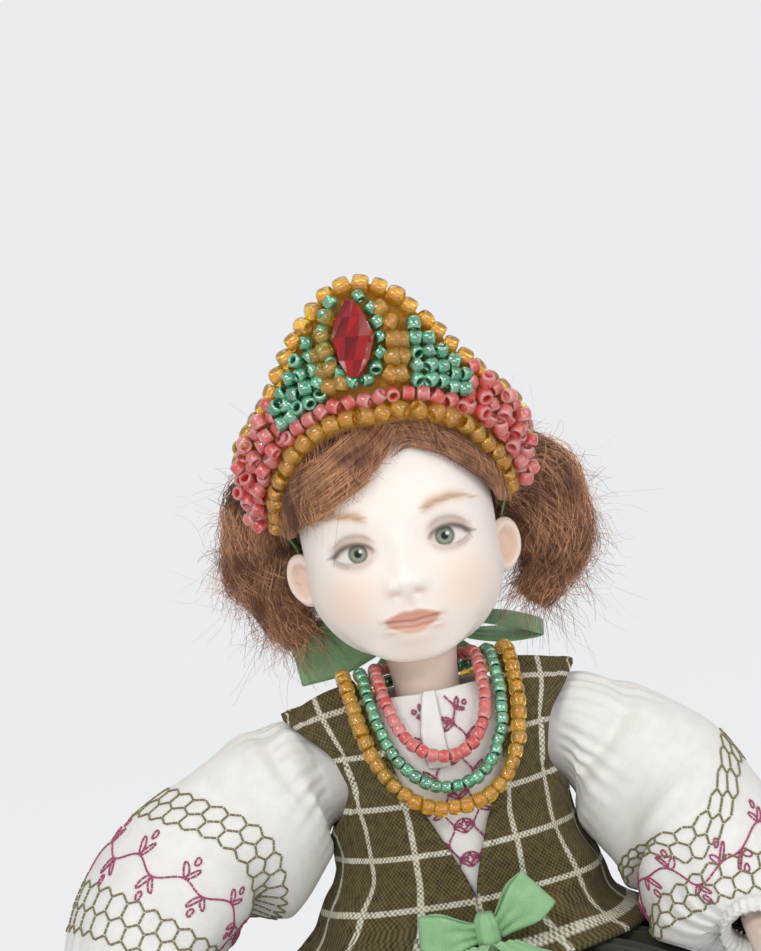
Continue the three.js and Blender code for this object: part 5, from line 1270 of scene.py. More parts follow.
def grosgrain():
    """Ribbed silk ribbon: close ribs straight across it, each with a narrow gleam painted into its colour as
    well as raised by its bump.
    """
    look, tree, shader = new_look("green_grosgrain_ribbon")
    place, along, _ = cloth_place(tree)
    turn = add(tree, "ShaderNodeMath", {0: along, 1: 2 * math.pi / RIB_PITCH}, operation="MULTIPLY")
    rib = add(tree, "ShaderNodeMath", {0: turn.outputs[0]}, operation="SINE").outputs[0]
    cloud = add(tree, "ShaderNodeTexNoise", {"Vector": place, "Scale": 0.4, "Detail": 3.0}).outputs["Fac"]
    share = add(tree, "ShaderNodeMath", {0: rib, 1: 0.14, 2: cloud}, operation="MULTIPLY_ADD").outputs[0]
    # Colour lighter along each rib: a painted gleam
    tree.links.new(blended(tree, share, "#6C9F69", "#9DC694"), shader.inputs["Base Color"])
    bump = add(tree, "ShaderNodeBump", {"Height": rib, "Strength": 0.3, "Distance": 0.05 * MM})
    tree.links.new(bump.outputs[0], shader.inputs["Normal"])
    set_inputs(shader, Roughness=0.5, Sheen_Weight=0.2)
    return look


def silk_thread(name, dark, light):
    """Stranded embroidery thread: tight and silky, with a soft gleam along each stitch."""
    look, tree, shader = new_look(name)
    place = add(tree, "ShaderNodeTexCoord").outputs["Object"]
    ply = add(tree, "ShaderNodeTexNoise", {"Vector": place, "Scale": 1 / (0.4 * MM), "Detail": 2.0})
    tree.links.new(blended(tree, ply.outputs["Fac"], dark, light), shader.inputs["Base Color"])
    set_inputs(shader, Roughness=0.45, Sheen_Weight=0.2)
    return look


def grained(name, dark, light, grain, rough, metal=0.0):
    """A plain solid material with a grain of its own: its shade and its gloss both wander a little."""
    look, tree, shader = new_look(name)
    place = add(tree, "ShaderNodeTexCoord").outputs["Object"]
    noise = add(tree, "ShaderNodeTexNoise", {"Vector": place, "Scale": 1 / (grain * MM), "Detail": 4.0})
    tree.links.new(blended(tree, noise.outputs["Fac"], dark, light), shader.inputs["Base Color"])
    gloss = add(tree, "ShaderNodeMapRange", {"Value": noise.outputs["Fac"], 3: rough - 0.08, 4: rough + 0.08})
    tree.links.new(gloss.outputs[0], shader.inputs["Roughness"])
    set_inputs(shader, Metallic=metal)
    return look


def sheet_area(grid):
    across, along = np.gradient(grid, axis=1), np.gradient(grid, axis=0)
    return np.linalg.norm(np.cross(across, along), axis=-1).sum() * MM * MM


# Vest: its edges by height and way out from the middle
V_BOTTOM, V_TOP_X = 9, 10.5
FRONT_OVERLAP_GAP = 0.5
FRONT_EDGE = (
    (0, FRONT_OVERLAP_GAP),
    (V_BOTTOM, FRONT_OVERLAP_GAP),
    (19, 4),
    (NECK_PIVOT - 8.7, 8.6),
    (SHOULDER_RIDGE, V_TOP_X),
)
ARMHOLE_BOTTOM = 20.5
ARMHOLE_EDGE = (
    (ARMHOLE_BOTTOM, 18.6),
    (NECK_PIVOT - 10.2, 15.8),
    (NECK_PIVOT - 3.7, 17.2),
    (SHOULDER_RIDGE, 21.2),
)
VEST_FLAT_HEIGHT = 52
SIDE_SEAM = math.radians(89)
BACK_NECKLINE = 0.86
CLOTH_ROUND = 17.5
# The hem is pushed out at the doll's right, and the side hangs fuller at its left
RIGHT_FLARE = 3.5
LEFT_FULLNESS = 2.4


def rumple(grid, depth, size, seed):
    """Soft uneven hollows and rises, as worn cloth has, along the cloth's own outside."""
    draw = np.random.default_rng(seed)
    total = np.zeros(grid.shape[:2])
    for _ in range(14):
        way = unit(draw.normal(0, 1, 3)) * 2 * np.pi / (size * draw.uniform(0.6, 1.6))
        total += np.sin(grid @ way + draw.uniform(0, 6.3))
    return grid + grid_normals(grid) * (depth * total / 14 ** 0.5)[..., None]


def armhole_angle(height, half_width):
    share = np.minimum(keyed(ARMHOLE_EDGE, 1, height) / half_width, 1)
    return np.where(height < ARMHOLE_BOTTOM, SIDE_SEAM, np.minimum(np.arcsin(share), SIDE_SEAM))


def hemmed(grid, edges, height=0.35, width=1.6):
    """Raises a turned hem along the edges named by their distance in millimetres."""
    near = np.minimum.reduce(edges)
    return grid + grid_normals(grid) * (height * smoothstep(width - near, -0.4, 0.4))[..., None]


def edge_distances(grid):
    """Distance along the cloth from its four edges: first row, last row, first column, last column."""
    along, across = np.zeros(grid.shape[:2]), np.zeros(grid.shape[:2])
    along[1:] = np.cumsum(np.linalg.norm(np.diff(grid, axis=0), axis=2), 0)
    across[:, 1:] = np.cumsum(np.linalg.norm(np.diff(grid, axis=1), axis=2), 1)
    return along, along[-1:] - along, across, across[:, -1:] - across


def vest_piece(name, angle, t, facing, look, replaces, seed):
    seam = 0.65 * smoothstep(t, 0.8, 1)
    grid = torso_point(angle, t)
    grid[..., 1] = facing * np.maximum(facing * grid[..., 1], seam)
    grid[..., 0] *= 1 + 0.11 * smoothstep(t, 0.72, 1)
    grid[..., 0] -= RIGHT_FLARE * smoothstep(15 - grid[..., 2], 0, 9) * smoothstep(-grid[..., 0], 6, 18)
    grid[..., 0] += LEFT_FULLNESS * bell(grid[..., 2], 8.5, 5.5) * smoothstep(grid[..., 0], 8, 18)
    normal = grid_normals(grid)
    outward = np.sign((normal * (grid - (0, 0, 20)))[..., :2].sum())
    if outward < 0:
        grid, angle, t = grid[:, ::-1], angle[:, ::-1], t[:, ::-1]
    grid = rumple(grid, 0.28, 9, seed)
    low, _, first, last = edge_distances(grid)
    grid = hemmed(grid, (low, first, last))
    along = keyed(VEST_ROWS, 1, t) + 0.35 * keyed(VEST_ROWS, 2, t) * smoothstep(-t, -0.15, 0)
    points, faces, cloth = thick_sheet(grid, VEST_THICKNESS, cloth_at(CLOTH_ROUND * angle, along))
    marks = {"cloth": cloth}
    made = make_piece(name, in_figure(points), faces, look, "base", "olive_check", replaces, marks=marks)
    area = sheet_area(grid)
    wide, long = np.ptp(CLOTH_ROUND * angle) * MM, VEST_FLAT_HEIGHT * MM
    flat = (max(wide, area / long * 1.02), long)


def build_vest(look):
    for (side, sign), seed in zip(SIDES, (5, 6)):
        rows = np.linspace(0, 1, 90)
        height, half_width = keyed(VEST_ROWS, 1, rows), keyed(VEST_ROWS, 2, rows)
        inner = np.arcsin(keyed(FRONT_EDGE, 1, height) / half_width)
        outer = armhole_angle(height, half_width)
        share = np.linspace(0, 1, 44)
        angle = sign * mix(inner[:, None], outer[:, None], share)
        t = np.broadcast_to(rows[:, None], angle.shape)
        vest_piece(f"vest_{side}_cloth", angle, t, -1, look, [f"vest_{side}_front"], seed)
    across, s = np.meshgrid(np.linspace(-1, 1, 90), np.linspace(0, 1, 90))
    t = s * mix(BACK_NECKLINE, 1, smoothstep(np.abs(across), 0.5, 0.75))
    reach = armhole_angle(keyed(VEST_ROWS, 1, t), keyed(VEST_ROWS, 2, t))
    vest_piece("vest_back_cloth", np.pi - across * (reach - 0.02), t, 1, look, ["vest_back"], 7)


# Blouse: the shares of the way up the vest that it follows, and half the angle round that each half covers
BLOUSE_INSET, BLOUSE_THICKNESS = 1.6, 0.6
BLOUSE_LOW, BLOUSE_HIGH = 0.16, 0.79
BLOUSE_REACH = {"front": 1.05, "back": 1.25}
NECKLINE_ROWS = ((13, 9.4, 8.6, NECK_PIVOT + 0.4), (9.2, 8.6, 8.2, NECK_PIVOT + 2.7))
PLACKET_AT, PLACKET_HALF, PLACKET_LOW = -0.09, 0.085, 29


def blouse_grid(middle, reach, columns=70):
    """Half of the bodice, from the waist up and drawn in over the shoulders to the neck."""
    angle = np.linspace(middle - reach, middle + reach, columns)
    shares = np.linspace(BLOUSE_LOW, BLOUSE_HIGH, 50)
    rows = [torso_point(angle, np.full(columns, t), BLOUSE_INSET) for t in shares]
    for half_width, front, back, height in NECKLINE_ROWS:
        depth = front if math.cos(middle) > 0 else back
        x, y = half_width * np.sin(angle), -depth * np.cos(angle)
        rows.append(np.stack([x, y, np.full(columns, height)], -1))
    lines = np.array(rows)
    return np.stack([spaced(lines[:, k], 70) for k in range(columns)], 1), angle


def raised(grid, height):
    """The front of the bodice moved out by a height."""
    normal = grid_normals(grid)
    return grid - normal * np.sign(normal[..., 1:2]) * height


def on_grid(grid, column, row):
    """Points on a grid at fractional columns and rows."""
    j = np.clip(column, 0, grid.shape[1] - 1.001)
    i = np.clip(row, 0, grid.shape[0] - 1.001)
    j0, i0 = j.astype(int), i.astype(int)
    v, w = (j - j0)[..., None], (i - i0)[..., None]
    return mix(mix(grid[i0, j0], grid[i0, j0 + 1], v), mix(grid[i0 + 1, j0], grid[i0 + 1, j0 + 1], v), w)


def build_blouse(look, thread):
    for name, middle in (("front", 0.0), ("back", np.pi)):
        reach = BLOUSE_REACH[name]
        grid, angle = blouse_grid(middle, reach)
        cloth = cloth_at(CLOTH_ROUND * angle, edge_distances(grid)[0])
        points, faces, cloth = thick_sheet(rumple(grid, 0.15, 8, 9), BLOUSE_THICKNESS, cloth)
        replaces = ["blouse_bodice"] if name == "front" else []
        made = make_piece(f"blouse_{name}", in_figure(points), faces, look, "base", "white_batiste",
                          replaces, marks={"cloth": cloth})
        sheet_area(grid)
    strip, angle = blouse_grid(PLACKET_AT, PLACKET_HALF, 13)
    strip = raised(strip[strip[:, 6, 2] > PLACKET_LOW], BLOUSE_THICKNESS + 0.25)
    cloth = cloth_at(CLOTH_ROUND * angle, strip[..., 2])
    points, faces, cloth = thick_sheet(strip, BLOUSE_THICKNESS, cloth)
    make_piece("placket_strip", in_figure(points), faces, look, "base", "white_batiste",
               ["blouse_placket"], marks={"cloth": cloth})
    sew_blouse_vines(thread)


def sew_blouse_vines(thread):
    """Two vines up the front, one each side of its middle."""
    reach = BLOUSE_REACH["front"]
    grid, _ = blouse_grid(0.0, reach)
    grid = raised(grid, BLOUSE_THICKNESS / 2 + 0.2)
    rows, columns = grid.shape[:2]
    length = edge_distances(grid)[0][-1].mean()
    stitches = []
    for sign in (-1, 1):
        for line in vine_lines(length - 4, 5.6, 0.85):
            across, up = sign * (2.2 + line[:, 1]) + 0.4, 3.4 + line[:, 0]
            column = (across / CLOTH_ROUND / reach + 1) / 2 * (columns - 1)
            stitches.append(on_grid(grid, column, up / length * (rows - 1)))
    sew("blouse_stitches", stitches, VINE_THREAD, thread, "base", "white_batiste", in_figure)


# Embroidery, as lines on the flat cloth in millimetres: along the band and across it
HEXAGON = 3.15
VINE_REPEAT = 8.6
HONEYCOMB_THREAD, VINE_THREAD = 0.19, 0.17


def loop_line(root, tip, width, count=16):
    """Outline of one leaf from its root to its tip and back."""
    root, tip = np.asarray(root, float), np.asarray(tip, float)
    aside = np.array([root[1] - tip[1], tip[0] - root[0]])
    aside = aside / np.linalg.norm(aside)
    t = np.linspace(0, 2 * np.pi, count)
    swell = width / 2 * np.sin(t) * (0.6 + 0.4 * np.cos(t / 2))
    return root + (tip - root) * ((1 - np.cos(t)) / 2)[:, None] + aside * swell[:, None]


def vine_lines(length, repeat=VINE_REPEAT, scale=1.0):
    """A wavy stem with a leaf on each side of every bend and a round berry over each leaf pair."""
    along = np.arange(0, length, 0.5)
    wave = lambda x: scale * 0.75 * np.sin(2 * np.pi * x / repeat)
    lines = [np.stack([along, wave(along)], -1)]
    for k, x in enumerate(np.arange(repeat / 4, length, repeat / 2)):
        turn = 1 if k % 2 == 0 else -1
        foot = np.array([x, wave(x)])
        lines.append(loop_line(foot, foot + scale * np.array([1.5, 2.1 * turn]), scale * 1.25))
        lines.append(loop_line(foot, foot + scale * np.array([-1.2, 2.0 * turn]), scale * 1.1))
        stalk, berry = foot + scale * np.array([0.1, 2.2 * turn]), foot + scale * np.array([0.4, 3.5 * turn])
        lines.append(loop_line(stalk, berry, scale * 1.3))
    return lines


def honeycomb_lines(count):
    """Two offset rows of hexagons, each edge once."""
    side = HEXAGON / 3 ** 0.5
    around = [(math.sin(k * np.pi / 3), math.cos(k * np.pi / 3)) for k in range(7)]
    edges = {}
    for row, shift in ((0.75, 0), (-0.75, 0.5)):
        for i in range(count):
            middle = np.array([(i + shift) * HEXAGON, row * side])
            corners = [middle + side * np.array(corner) for corner in around]
            for a, b in zip(corners, corners[1:]):
                key = tuple(np.round((a + b) / 2, 2))
                edges[key] = np.array([mix(a, b, s) for s in np.linspace(0.04, 0.96, 5)])
    return list(edges.values())


def stitched(line, stitch=1.0, gap=0.14):
    """A line cut into single stitches."""
    length = np.linalg.norm(np.diff(line, axis=0), axis=1).sum()
    count = max(1, round(length / stitch))
    dense = spaced(line, 8 * count + 1)
    pieces = [dense[8 * k:8 * k + 9] for k in range(count)]
    trim = gap / stitch / 2
    return [np.array([on_line(piece, s) for s in np.linspace(trim, 1 - trim, 5)]) for piece in pieces]


def on_line(points, share):
    place = share * (len(points) - 1)
    k = min(int(place), len(points) - 2)
    return mix(points[k], points[k + 1], place - k)


def sew(name, lines, radius, thread, body, slot, place):
    """Stitches as fine raised threads along lines of points."""
    paths = np.array([spaced(stitch, 5) for line in lines for stitch in stitched(line)])
    points, faces = tubes(paths, np.full(paths.shape[:2], radius), 5)
    return make_piece(name, place(points), faces, thread, body, slot)


# Skirt: a stuffed cushion of dark cotton, gathered in to the waist
BASE_RADIUS, SKIRT_RADIUS, SKIRT_BULGE = 50, 56, 24
SKIRT_FULLNESS, WAIST_OPENING, COVER_FOOT, UPPER_SHARE = 2.7, 18, 1.8, 0.72
SKIRT_GATHERS, GATHER_DEPTH = 24, 1.5
GATHER_SHARES = ((0, 0.4), (0.2, 1), (UPPER_SHARE, 0.9), (1, 0.25))


def skirt_dome(share):
    """Height of the skirt's upper side by the share of its radius."""
    rise = (1 - share ** SKIRT_FULLNESS) ** (1 / SKIRT_FULLNESS)
    return SKIRT_BULGE + (SKIRT_TOP - SKIRT_BULGE) * rise


# Arms and sleeves: centre line from the shoulder to the wrist, all from the shoulder
SHOULDER = np.array([18.6, 3, 29.7])
ARM_LINES = {
    "right": (
        (0, 0, 0), (-5.2, -0.5, -0.9), (-15.4, -4, -6.2),
        (-26.4, -8, -13.2), (-33, -10.5, -21.2), (-36.6, -12, -29.6),
    ),
    "left": (
        (0, 0, 0), (5.4, -1, -0.6), (15.4, -5, -7.4),
        (22.9, -13, -16.4), (23.6, -23.5, -24.4), (21.4, -32, -29.9),
    ),
}
# Radius of a sleeve by the share of the way down the arm
SLEEVE_SHAPE = (
    (-0.05, 7.4), (0.02, 8.2), (0.05, 9.4), (0.085, 10.8), (0.16, 12.4),
    (0.42, 14), (0.66, 14.2), (0.86, 12.6), (0.95, 9), (1, 4.4),
)
SLEEVE_WALL = 0.5
SLEEVE_ROUND = 13
# Room between the skirt and a sleeve that lies on it, for the skirt's folds
SLEEVE_REST = 1.6
# How far the loose cloth hangs below the arm, by the share of the way down it, and how far towards the body
SLEEVE_SAG = {
    "right": ((0, 0), (0.15, 0.7), (0.35, 1.8), (0.6, 1.2), (0.9, 0.6), (1, 0)),
    "left": (
        (0, 0), (0.05, 1.4), (0.12, 3.4), (0.3, 5.2), (0.5, 5.2),
        (0.7, 6.4), (0.86, 8.4), (0.95, 7.4), (1, 0),
    ),
}
SLEEVE_INWARD = {"right": 0.0, "left": 4.4}
# Embroidered bands: kind, share of the way down the arm far from a place and at it, its angle and spread
BANDS = {
    "right": (
        ("honeycomb", 0.465, 0.38, 268, 45),
        ("vine", 0.615, 0.565, 285, 30),
        ("honeycomb", 0.755, 0.755, 0, 1),
    ),
    "left": (
        ("honeycomb", 0.41, 0.72, 292, 48),
        ("vine", 0.68, 0.825, 295, 34),
        ("honeycomb", 0.82, 0.85, 280, 40),
    ),
}
# Where a sleeve is drawn in below a fold: share of the way down, angle in degrees, depth, spread round
DRAWN_IN = {"right": (0.42, 335, 4.4, 42), "left": (0.5, 225, 1.4, 45)}
# Creases: share of the way down, angle round the arm in degrees, depth, spread down and round
CREASES = {
    "right": (
        (0.45, 335, 2.6, 0.05, 60), (0.13, 215, 1.3, 0.03, 60),
        (0.74, 255, 0.9, 0.06, 35), (0.3, 270, 0.7, 0.07, 40),
    ),
    "left": (
        (0.13, 270, 1.8, 0.028, 95), (0.55, 222, 2.6, 0.05, 50),
        (0.4, 300, 0.9, 0.07, 35), (0.8, 250, 0.8, 0.05, 40),
    ),
}


def skirt_height(p):
    """Height of the skirt's top under a place, from the waist."""
    share = np.clip(np.hypot(p[..., 0], p[..., 1]) / SKIRT_RADIUS, 0, 1)
    return skirt_dome(share) - SKIRT_TOP


def arm_line(side, sign):
    return smooth_path(np.array(ARM_LINES[side]) + SHOULDER * (sign, 1, 1), 160)


def sleeve_surface(side, sign):
    """A function of the share of the way down the arm and the angle round it, and the arm's length."""
    line = arm_line(side, sign)
    aside, up = frames_along(line, (0, 1, 0))
    at = np.linspace(0, 1, len(line))
    length = np.linalg.norm(np.diff(line, axis=0), axis=1).sum()
    draw = np.random.default_rng(21 if sign < 0 else 22)
    ripples = [
        (draw.integers(1, 7), draw.uniform(4, 16), draw.uniform(0, 6.3), draw.uniform(0.4, 1))
        for _ in range(12)
    ]

    def place(s, a, lift=0.0):
        pick = lambda values: np.stack([np.interp(s, at, values[:, k]) for k in range(3)], -1)
        inside = unit(line[1] - line[0]) * (np.minimum(s, 0) * length)[..., None]
        radius = keyed(SLEEVE_SHAPE, 1, s)
        pleats = bell(s, 0.06, 0.12) + 1.2 * bell(s, 0.98, 0.14)
        gathers = np.sin(17 * a + 3 * np.sin(4 * a)) + 0.5 * np.sin(29 * a + 1)
        fold = 0.3 * pleats * gathers * smoothstep(s, 0.01, 0.06)
        soft_fold = sum(w * np.sin(n * a + f * s + p) for n, f, p, w in ripples)
        soft_fold = soft_fold * 0.17 * smoothstep(s, 0.05, 0.3)
        for down, degrees, depth, spread, reach in CREASES[side]:
            away = angle_from(a, degrees)
            bent = down + 0.03 * np.sin(np.radians(2 * away))
            soft_fold = soft_fold - depth * bell(s, bent, spread) * bell(away, 0, reach)
        down, degrees, depth, reach = DRAWN_IN[side]
        away = angle_from(a, degrees)
        lower = smoothstep(s, down - 0.05, down + 0.05) * smoothstep(0.95 - s, 0, 0.2)
        r = radius + np.minimum(fold, 0.6) + soft_fold - depth * lower * bell(away, 0, reach) + lift
        sag = keyed(SLEEVE_SAG[side], 1, np.clip(s, 0, 1))
        p = pick(line) + inside + pick(aside) * (r * np.cos(a))[..., None]
        p = p + pick(up) * (r * np.sin(a))[..., None]
        p[..., 2] -= sag
        p[..., 0] -= sign * SLEEVE_INWARD[side] * smoothstep(s, 0.3, 0.6) * smoothstep(1 - s, 0, 0.15)
        p[..., 2] = np.maximum(p[..., 2], skirt_height(p) + SLEEVE_REST + lift)
        return p

    return place, length


def build_sleeve(side, sign, looks):
    place, length = sleeve_surface(side, sign)
    s, a = np.meshgrid(np.linspace(-0.05, 1, 150), full_turn(220), indexing="ij")
    outer, inner = place(s, a), place(s, a, -SLEEVE_WALL)
    rows, columns = s.shape
    total = rows * columns
    quads = grid_quads(rows, columns, wrap=True)
    rims = [rim_quads(first, columns, total) for first in (0, total - columns)]
    flat = cloth_at(SLEEVE_ROUND * a, length * s)
    points = np.concatenate([outer.reshape(-1, 3), inner.reshape(-1, 3)])
    faces = [quads, quads[:, ::-1] + total, *rims]
    marks = {"cloth": np.concatenate([flat, flat])}
    body = f"{side}_arm"
    sleeve = make_piece(f"{side}_sleeve_cloth", in_figure(points), faces, looks["white"], body,
                        "white_batiste", [f"{side}_sleeve"], marks=marks)
    stitches = {"honeycomb": [], "vine": []}
    for kind, far, near, degrees, spread in BANDS[side]:
        radius = keyed(SLEEVE_SHAPE, 1, np.array([far]))[0]
        around = 2 * np.pi * radius
        count = round(around / HEXAGON)
        lines = honeycomb_lines(count) if kind == "honeycomb" else vine_lines(around)
        stretch = 2 * np.pi / (count * HEXAGON) if kind == "honeycomb" else 1 / radius
        for line in lines:
            a = sign * line[:, 0] * stretch
            away = angle_from(a, degrees)
            middle = mix(far, near, bell(away, 0, spread))
            stitches[kind].append(place(middle + sign * line[:, 1] / length, a, 0.1))
    threads = (("honeycomb", HONEYCOMB_THREAD, "olive_thread"), ("vine", VINE_THREAD, "maroon_thread"))
    for kind, radius, thread in threads:
        name = f"{side}_{kind}"
        sew(name, stitches[kind], radius, looks[thread], body, "white_batiste", in_figure)
    area = sheet_area(np.concatenate([outer, outer[:, :1]], 1))
    flat = (area / (length * MM), length * MM)
    build_cuff(side, sign, looks["white"])


# Cuff: radius and way past the wrist, once round the band's section
CUFF_SECTION = np.array([
    (3.9, 0.3), (4.6, 0.3), (5.2, 0.7), (5.4, 1.5), (5.1, 2.3), (5.0, 2.7),
    (5.3, 3.2), (5.6, 3.8), (5.2, 3.9), (4.2, 2.9), (3.9, 1.6),
])
CUFF_SIDES, CUFF_RUFFLES = 120, 26
CUFF_ROUND = 5


def build_cuff(side, sign, look):
    """A narrow gathered band with a short frill below it."""
    line = arm_line(side, sign)
    wrist, outward = line[-1], unit(line[-1] - line[-6])
    aside = unit(np.cross(outward, (0, 1, 0)))
    up = np.cross(aside, outward)
    turn = full_turn(CUFF_SIDES)
    radius, past = CUFF_SECTION[:, :1], CUFF_SECTION[:, 1:]
    ruffle = 1 + 0.035 * np.sin(CUFF_RUFFLES * turn)[None] * smoothstep(past, 0.4, 1.2)
    ring = aside * np.cos(turn)[:, None] + up * np.sin(turn)[:, None]
    points = wrist + outward * past[:, None] + ring[None] * (radius * ruffle)[..., None]
    rows = len(CUFF_SECTION)
    faces = [grid_quads(rows + 1, CUFF_SIDES, wrap=True) % (rows * CUFF_SIDES)]
    marks = {"cloth": cloth_at(CUFF_ROUND * turn, past)}
    make_piece(f"{side}_cuff_band", in_figure(points), faces, look, f"{side}_arm", "white_batiste",
               [f"{side}_cuff"], marks=marks)


# Ribbons
RIBBON_WIDTH, TIE_WIDTH = 7, 4
RIBBON_SHEET = 0.35
NAPE = np.array([0, HEAD_HALF_BACK - 1.6, 11])
VEST_BOW = np.array([0, -22.4, 4.6])
TIE = (
    (HEAD_HALF_WIDTH + 2.5, 5, 30.8),
    (HEAD_HALF_WIDTH + 1.2, 7.8, 27.4),
    (HEAD_HALF_WIDTH + 0.3, 9.8, 22),
    (HEAD_HALF_WIDTH - 2, 12, 15.6),
    (9, HEAD_HALF_BACK - 5, 11.2),
    (3.2, HEAD_HALF_BACK - 4.2, 10.4),
)
TIE_STEPS, LOOP_STEPS, TAIL_STEPS = 60, 28, 30
KNOT_ROWS, KNOT_SIDES = 30, 48
KNOT_SHAPE = ((-1, 1.15), (-0.55, 1.85), (0, 1.95), (0.55, 1.85), (1, 1.15))
# Loops: reach from the knot, width and twist. Tails: places from the knot
VEST_LOOPS = {"right": ((-10.4, -1, 0.8), RIBBON_WIDTH, 0.0), "left": ((8.8, -1, 5.4), RIBBON_WIDTH, 0.0)}
VEST_TAILS = {
    "right": ((-2.1, -2.4, -1.6), (-4, -4.4, -3), (-6.8, -7.6, -4.4)),
    "left": ((2.1, -2.4, -1.6), (4.2, -4.4, -3), (7.2, -7, -4.4)),
}
NAPE_WIDTH = 5.5
NAPE_LOOPS = {"right": ((-21, -1, -1.7), 9.6, 0.0), "left": ((20.2, -1, -4.0), NAPE_WIDTH, 1.2)}
NAPE_TAILS = {
    "right": ((-1.7, 2.5, -1), (-3.4, 3.6, -3), (-5.6, 4.6, -6)),
    "left": ((1.7, 2.5, -1), (3.4, 3.6, -3), (5.4, 4.6, -5.6)),
}


def ribbon_piece(name, node, path, widths, across, look, body, place, crimp=0.0):
    """A ribbon down a path; where it is drawn in it crimps into lengthwise folds."""
    k = np.linspace(-0.5, 0.5, 17)
    across = np.broadcast_to(across, path.shape)
    grid = path[:, None] + across[:, None] * (widths[:, None] * k)[..., None]
    drawn = crimp * (1 - widths / widths.max())[:, None] * np.cos(5 * np.pi * k)
    grid = grid + grid_normals(grid) * drawn[..., None]
    along = np.concatenate([[0], np.cumsum(np.linalg.norm(np.diff(path, axis=0), axis=1))])
    cloth = cloth_at(along[:, None], widths.max() * k)
    points, faces, cloth = thick_sheet(grid, RIBBON_SHEET, cloth)
    make_piece(name, place(points), faces, look, body, "green_ribbon", [node], marks={"cloth": cloth})


def build_knot(prefix, centre, out, width, look, body, place):
    """A bow's knot: a short barrel, creased where the ribbon is pulled together."""
    height, turn = np.linspace(-1, 1, KNOT_ROWS), full_turn(KNOT_SIDES)
    swell = keyed(KNOT_SHAPE, 1, height)
    crease = 1 + 0.05 * np.cos(9 * turn)[None] * (0.4 + np.abs(height))[:, None]
    ring = np.array([1.0, 0, 0]) * np.cos(turn)[:, None] + out * np.sin(turn)[:, None]
    points = centre + ring[None] * (swell[:, None] * crease)[..., None]
    points = points + np.array([0, 0, 0.42 * width]) * height[:, None, None]
    marks = {"cloth": cloth_at(1.9 * turn, 3 * height[:, None])}
    make_piece(f"{prefix}_knot_ribbon", place(points), tube_faces(KNOT_ROWS, KNOT_SIDES), look, body,
               "green_ribbon", [f"{prefix}_knot"], marks=marks)


def build_bow(prefix, centre, out, width, loops, tails, puff, look, body, place):
    """A bow: knot, two loops and two tails about a centre, facing out along a direction."""
    out = np.asarray(out, float)
    build_knot(prefix, centre, out, width, look, body, place)
    s = np.concatenate([np.linspace(0, 1, LOOP_STEPS), np.linspace(1, 0, LOOP_STEPS)[1:]])
    layer = np.where(np.arange(len(s)) < LOOP_STEPS, 1, -1)
    for side, sign in SIDES:
        reach, wide, twist = loops[side]
        root, tip = centre + (sign * 1.6, 0, 0), centre + reach
        outward = tip - root
        upright = unit(np.cross(outward, out))
        across = upright * math.cos(twist) + out * math.sin(twist)
        swell = out * math.cos(twist) - upright * math.sin(twist)
        bulge = layer * puff * np.sin(np.pi * np.clip(s, 0, 1)) ** 0.8
        path = root + outward * s[:, None] + swell * bulge[:, None]
        widths = wide * mix(0.42, 1, smoothstep(s, 0, 0.75))
        node = f"{prefix}_{side}_loop"
        ribbon_piece(f"{node}_ribbon", node, path, widths, across, look, body, place, 0.5)
        path = smooth_path(centre + np.array(tails[side]), TAIL_STEPS)
        widths = width * np.linspace(0.5, 0.95, TAIL_STEPS)
        node = f"{prefix}_{side}_tail"
        ribbon_piece(f"{node}_ribbon", node, path, widths, (1.0, 0, 0), look, body, place, 0.4)


def build_ribbons(look):
    build_bow("vest_bow", VEST_BOW, (0, -1, 0), RIBBON_WIDTH, VEST_LOOPS, VEST_TAILS, 1.7,
              look, "base", in_figure)
    build_bow("nape_bow", NAPE, (0, 1, 0), NAPE_WIDTH, NAPE_LOOPS, NAPE_TAILS, 1.6,
              look, "head", in_head)
    for side, sign in SIDES:
        path = smooth_path(np.array(TIE) * (sign, 1, 1), TIE_STEPS)
        down = smoothstep(np.linspace(0, 7, TIE_STEPS), 3, 6)[:, None]
        across = unit(np.array([0, 1, 0]) * (1 - down) + np.array([0, 0, 1]) * down)
        widths = np.full(TIE_STEPS, float(TIE_WIDTH))
        ribbon_piece(f"{side}_tie_ribbon", f"crown_{side}_tie", path, widths, across, look, "head", in_head)


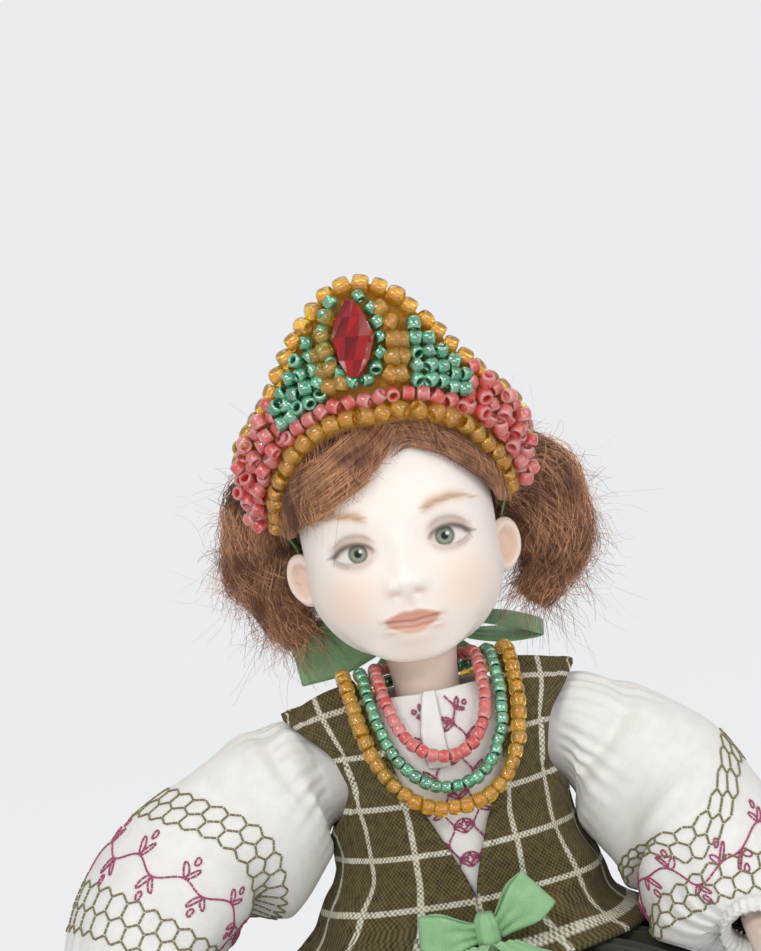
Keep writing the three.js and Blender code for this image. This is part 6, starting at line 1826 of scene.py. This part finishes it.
def build_skirt(look):
    """The skirt's cover over its wadding: main gathers, then fine folds that fade below the waist."""
    u, a = np.meshgrid(np.linspace(0, 1, 120), full_turn(520), indexing="ij")
    rise = mix(WAIST_OPENING, SKIRT_RADIUS, np.sin(np.clip(u / UPPER_SHARE, 0, 1) * np.pi / 2))
    under = np.clip((u - UPPER_SHARE) / (1 - UPPER_SHARE), 0, 1) * np.pi / 2
    r = np.where(u <= UPPER_SHARE, rise, BASE_RADIUS + (SKIRT_RADIUS - BASE_RADIUS) * np.cos(under))
    dome = skirt_dome(np.minimum(rise / SKIRT_RADIUS, 1))
    z = np.where(u <= UPPER_SHARE, dome, SKIRT_BULGE - (SKIRT_BULGE - COVER_FOOT) * np.sin(under))
    main = GATHER_DEPTH / 2 * keyed(GATHER_SHARES, 1, u) * np.cos(SKIRT_GATHERS * a)
    grid = np.stack([(r + main) * np.cos(a), (r + main) * np.sin(a), z + main], -1)
    closed = np.concatenate([grid[:, -1:], grid, grid[:, :1]], 1)
    normal = grid_normals(closed)[:, 1:-1]
    normal *= np.sign((normal * grid)[..., :2].sum())
    wander = a + 0.03 * np.sin(5 * a + 1) + 0.02 * np.sin(11 * a)
    fine = np.sin(3 * SKIRT_GATHERS * wander) + 0.6 * np.sin(2 * SKIRT_GATHERS * wander + 3 * u)
    depth = mix(0.34, 0.08, smoothstep(u, 0, 0.6)) + 0.12 * bell(u, 1, 0.12)
    grid = grid + normal * (depth * (fine - 1))[..., None]
    marks = {"cloth": cloth_at(r * a, 70 * u)}
    cushion = make_piece("skirt_cushion", grid, tube_faces(*u.shape), look, "base", "dark_green_cotton",
                         ["skirt_cover", "cushion_filling"], marks=marks)


# Solids that stay as they were packed, with a material each; limbs and trunk are rounded off
def dress_solids(looks):
    for name, look in {
        "base_felt": "green_felt", "base_board": "greyboard", "ballast_disc": "steel", "waist_peg": "beech",
        "neck_bead": "beech", "neck_liner": "kid", "neck_elastic": "elastic", "arm_elastic": "elastic",
        "half_body": "bare_porcelain", "right_arm": "bare_porcelain", "left_arm": "bare_porcelain",
    }.items():
        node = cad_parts[name]
        node.data.materials.clear()
        node.data.materials.append(looks[look])
    for name in ("right_arm", "left_arm", "half_body"):
        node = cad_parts[name]
        rounding = node.modifiers.new("rounding", "REMESH")
        rounding.mode = "VOXEL"
        rounding.voxel_size = 0.35 * MM
        rounding.use_smooth_shade = True
        even = node.modifiers.new("even", "SMOOTH")
        even.iterations = 8


set_camera()
set_light()
paper_sweep()
porcelain = bisque_porcelain()
looks = {
    # The felt's dark ochre also paints the shade in the gaps between the beads
    "felt": wool_felt("ochre_wool_felt", "#8A5A14", "#BE8A30"),
    "green_felt": wool_felt("green_wool_felt", "#2C3020", "#4A4F36"),
    # Seed beads: each is laid pale at its rims, a painted reflection
    "amber": seed_glass("amber_seed_glass", "#FFC430", "#FFE670", 0.8, 0.5),
    "green": seed_glass("green_lustre_glass", "#167C4E", "#94DEB0", 0.15, 1.0, film=430, lustre=0.3),
    # Coral glass, pale at its rims by a painted reflection
    "pink": seed_glass("coral_lustre_glass_painted_rims", "#F24C42", "#FFE4DE", 0.5, 1.0),
    "crystal": red_crystal(),
    "white": fine_weave("white_batiste", "#DDDBD5", "#EAE8E3", 0.5),
    "olive_thread": silk_thread("olive_silk_thread", "#5E5730", "#8A8050"),
    "maroon_thread": silk_thread("maroon_silk_thread", "#86244A", "#B24A74"),
    "bare_porcelain": grained("bare_bisque_porcelain", "#E6D3C5", "#EBDACD", 4, 0.5),
    "greyboard": grained("pressed_greyboard", "#77736A", "#8D8980", 1.2, 0.85),
    "steel": grained("zinc_plated_steel", "#8A8D90", "#A5A8AB", 2, 0.35, 1.0),
    "beech": grained("turned_beech", "#B98F5E", "#D2AC7B", 3, 0.5),
    "kid": grained("kid_leather", "#CDB79A", "#DCC9AE", 0.8, 0.6),
    "elastic": grained("covered_elastic", "#D9D5CC", "#EFEBE3", 0.5, 0.8),
}
build_head(porcelain)
# The close hair under the strands is drawn darker than they are, a painted shade deep in the hair
build_hair(mohair("mohair_base", "#341D10", "#66402A"), mohair("auburn_mohair", "#5E2E16", "#F2B484"))
build_crown(looks)
build_necklaces(looks)
build_vest(olive_check())
build_blouse(looks["white"], looks["maroon_thread"])
for side, sign in SIDES:
    build_sleeve(side, sign, looks)
build_ribbons(grosgrain())
build_skirt(fine_weave("dark_green_cotton", "#14180B", "#2B2F1A", 0.7))
dress_solids(looks)
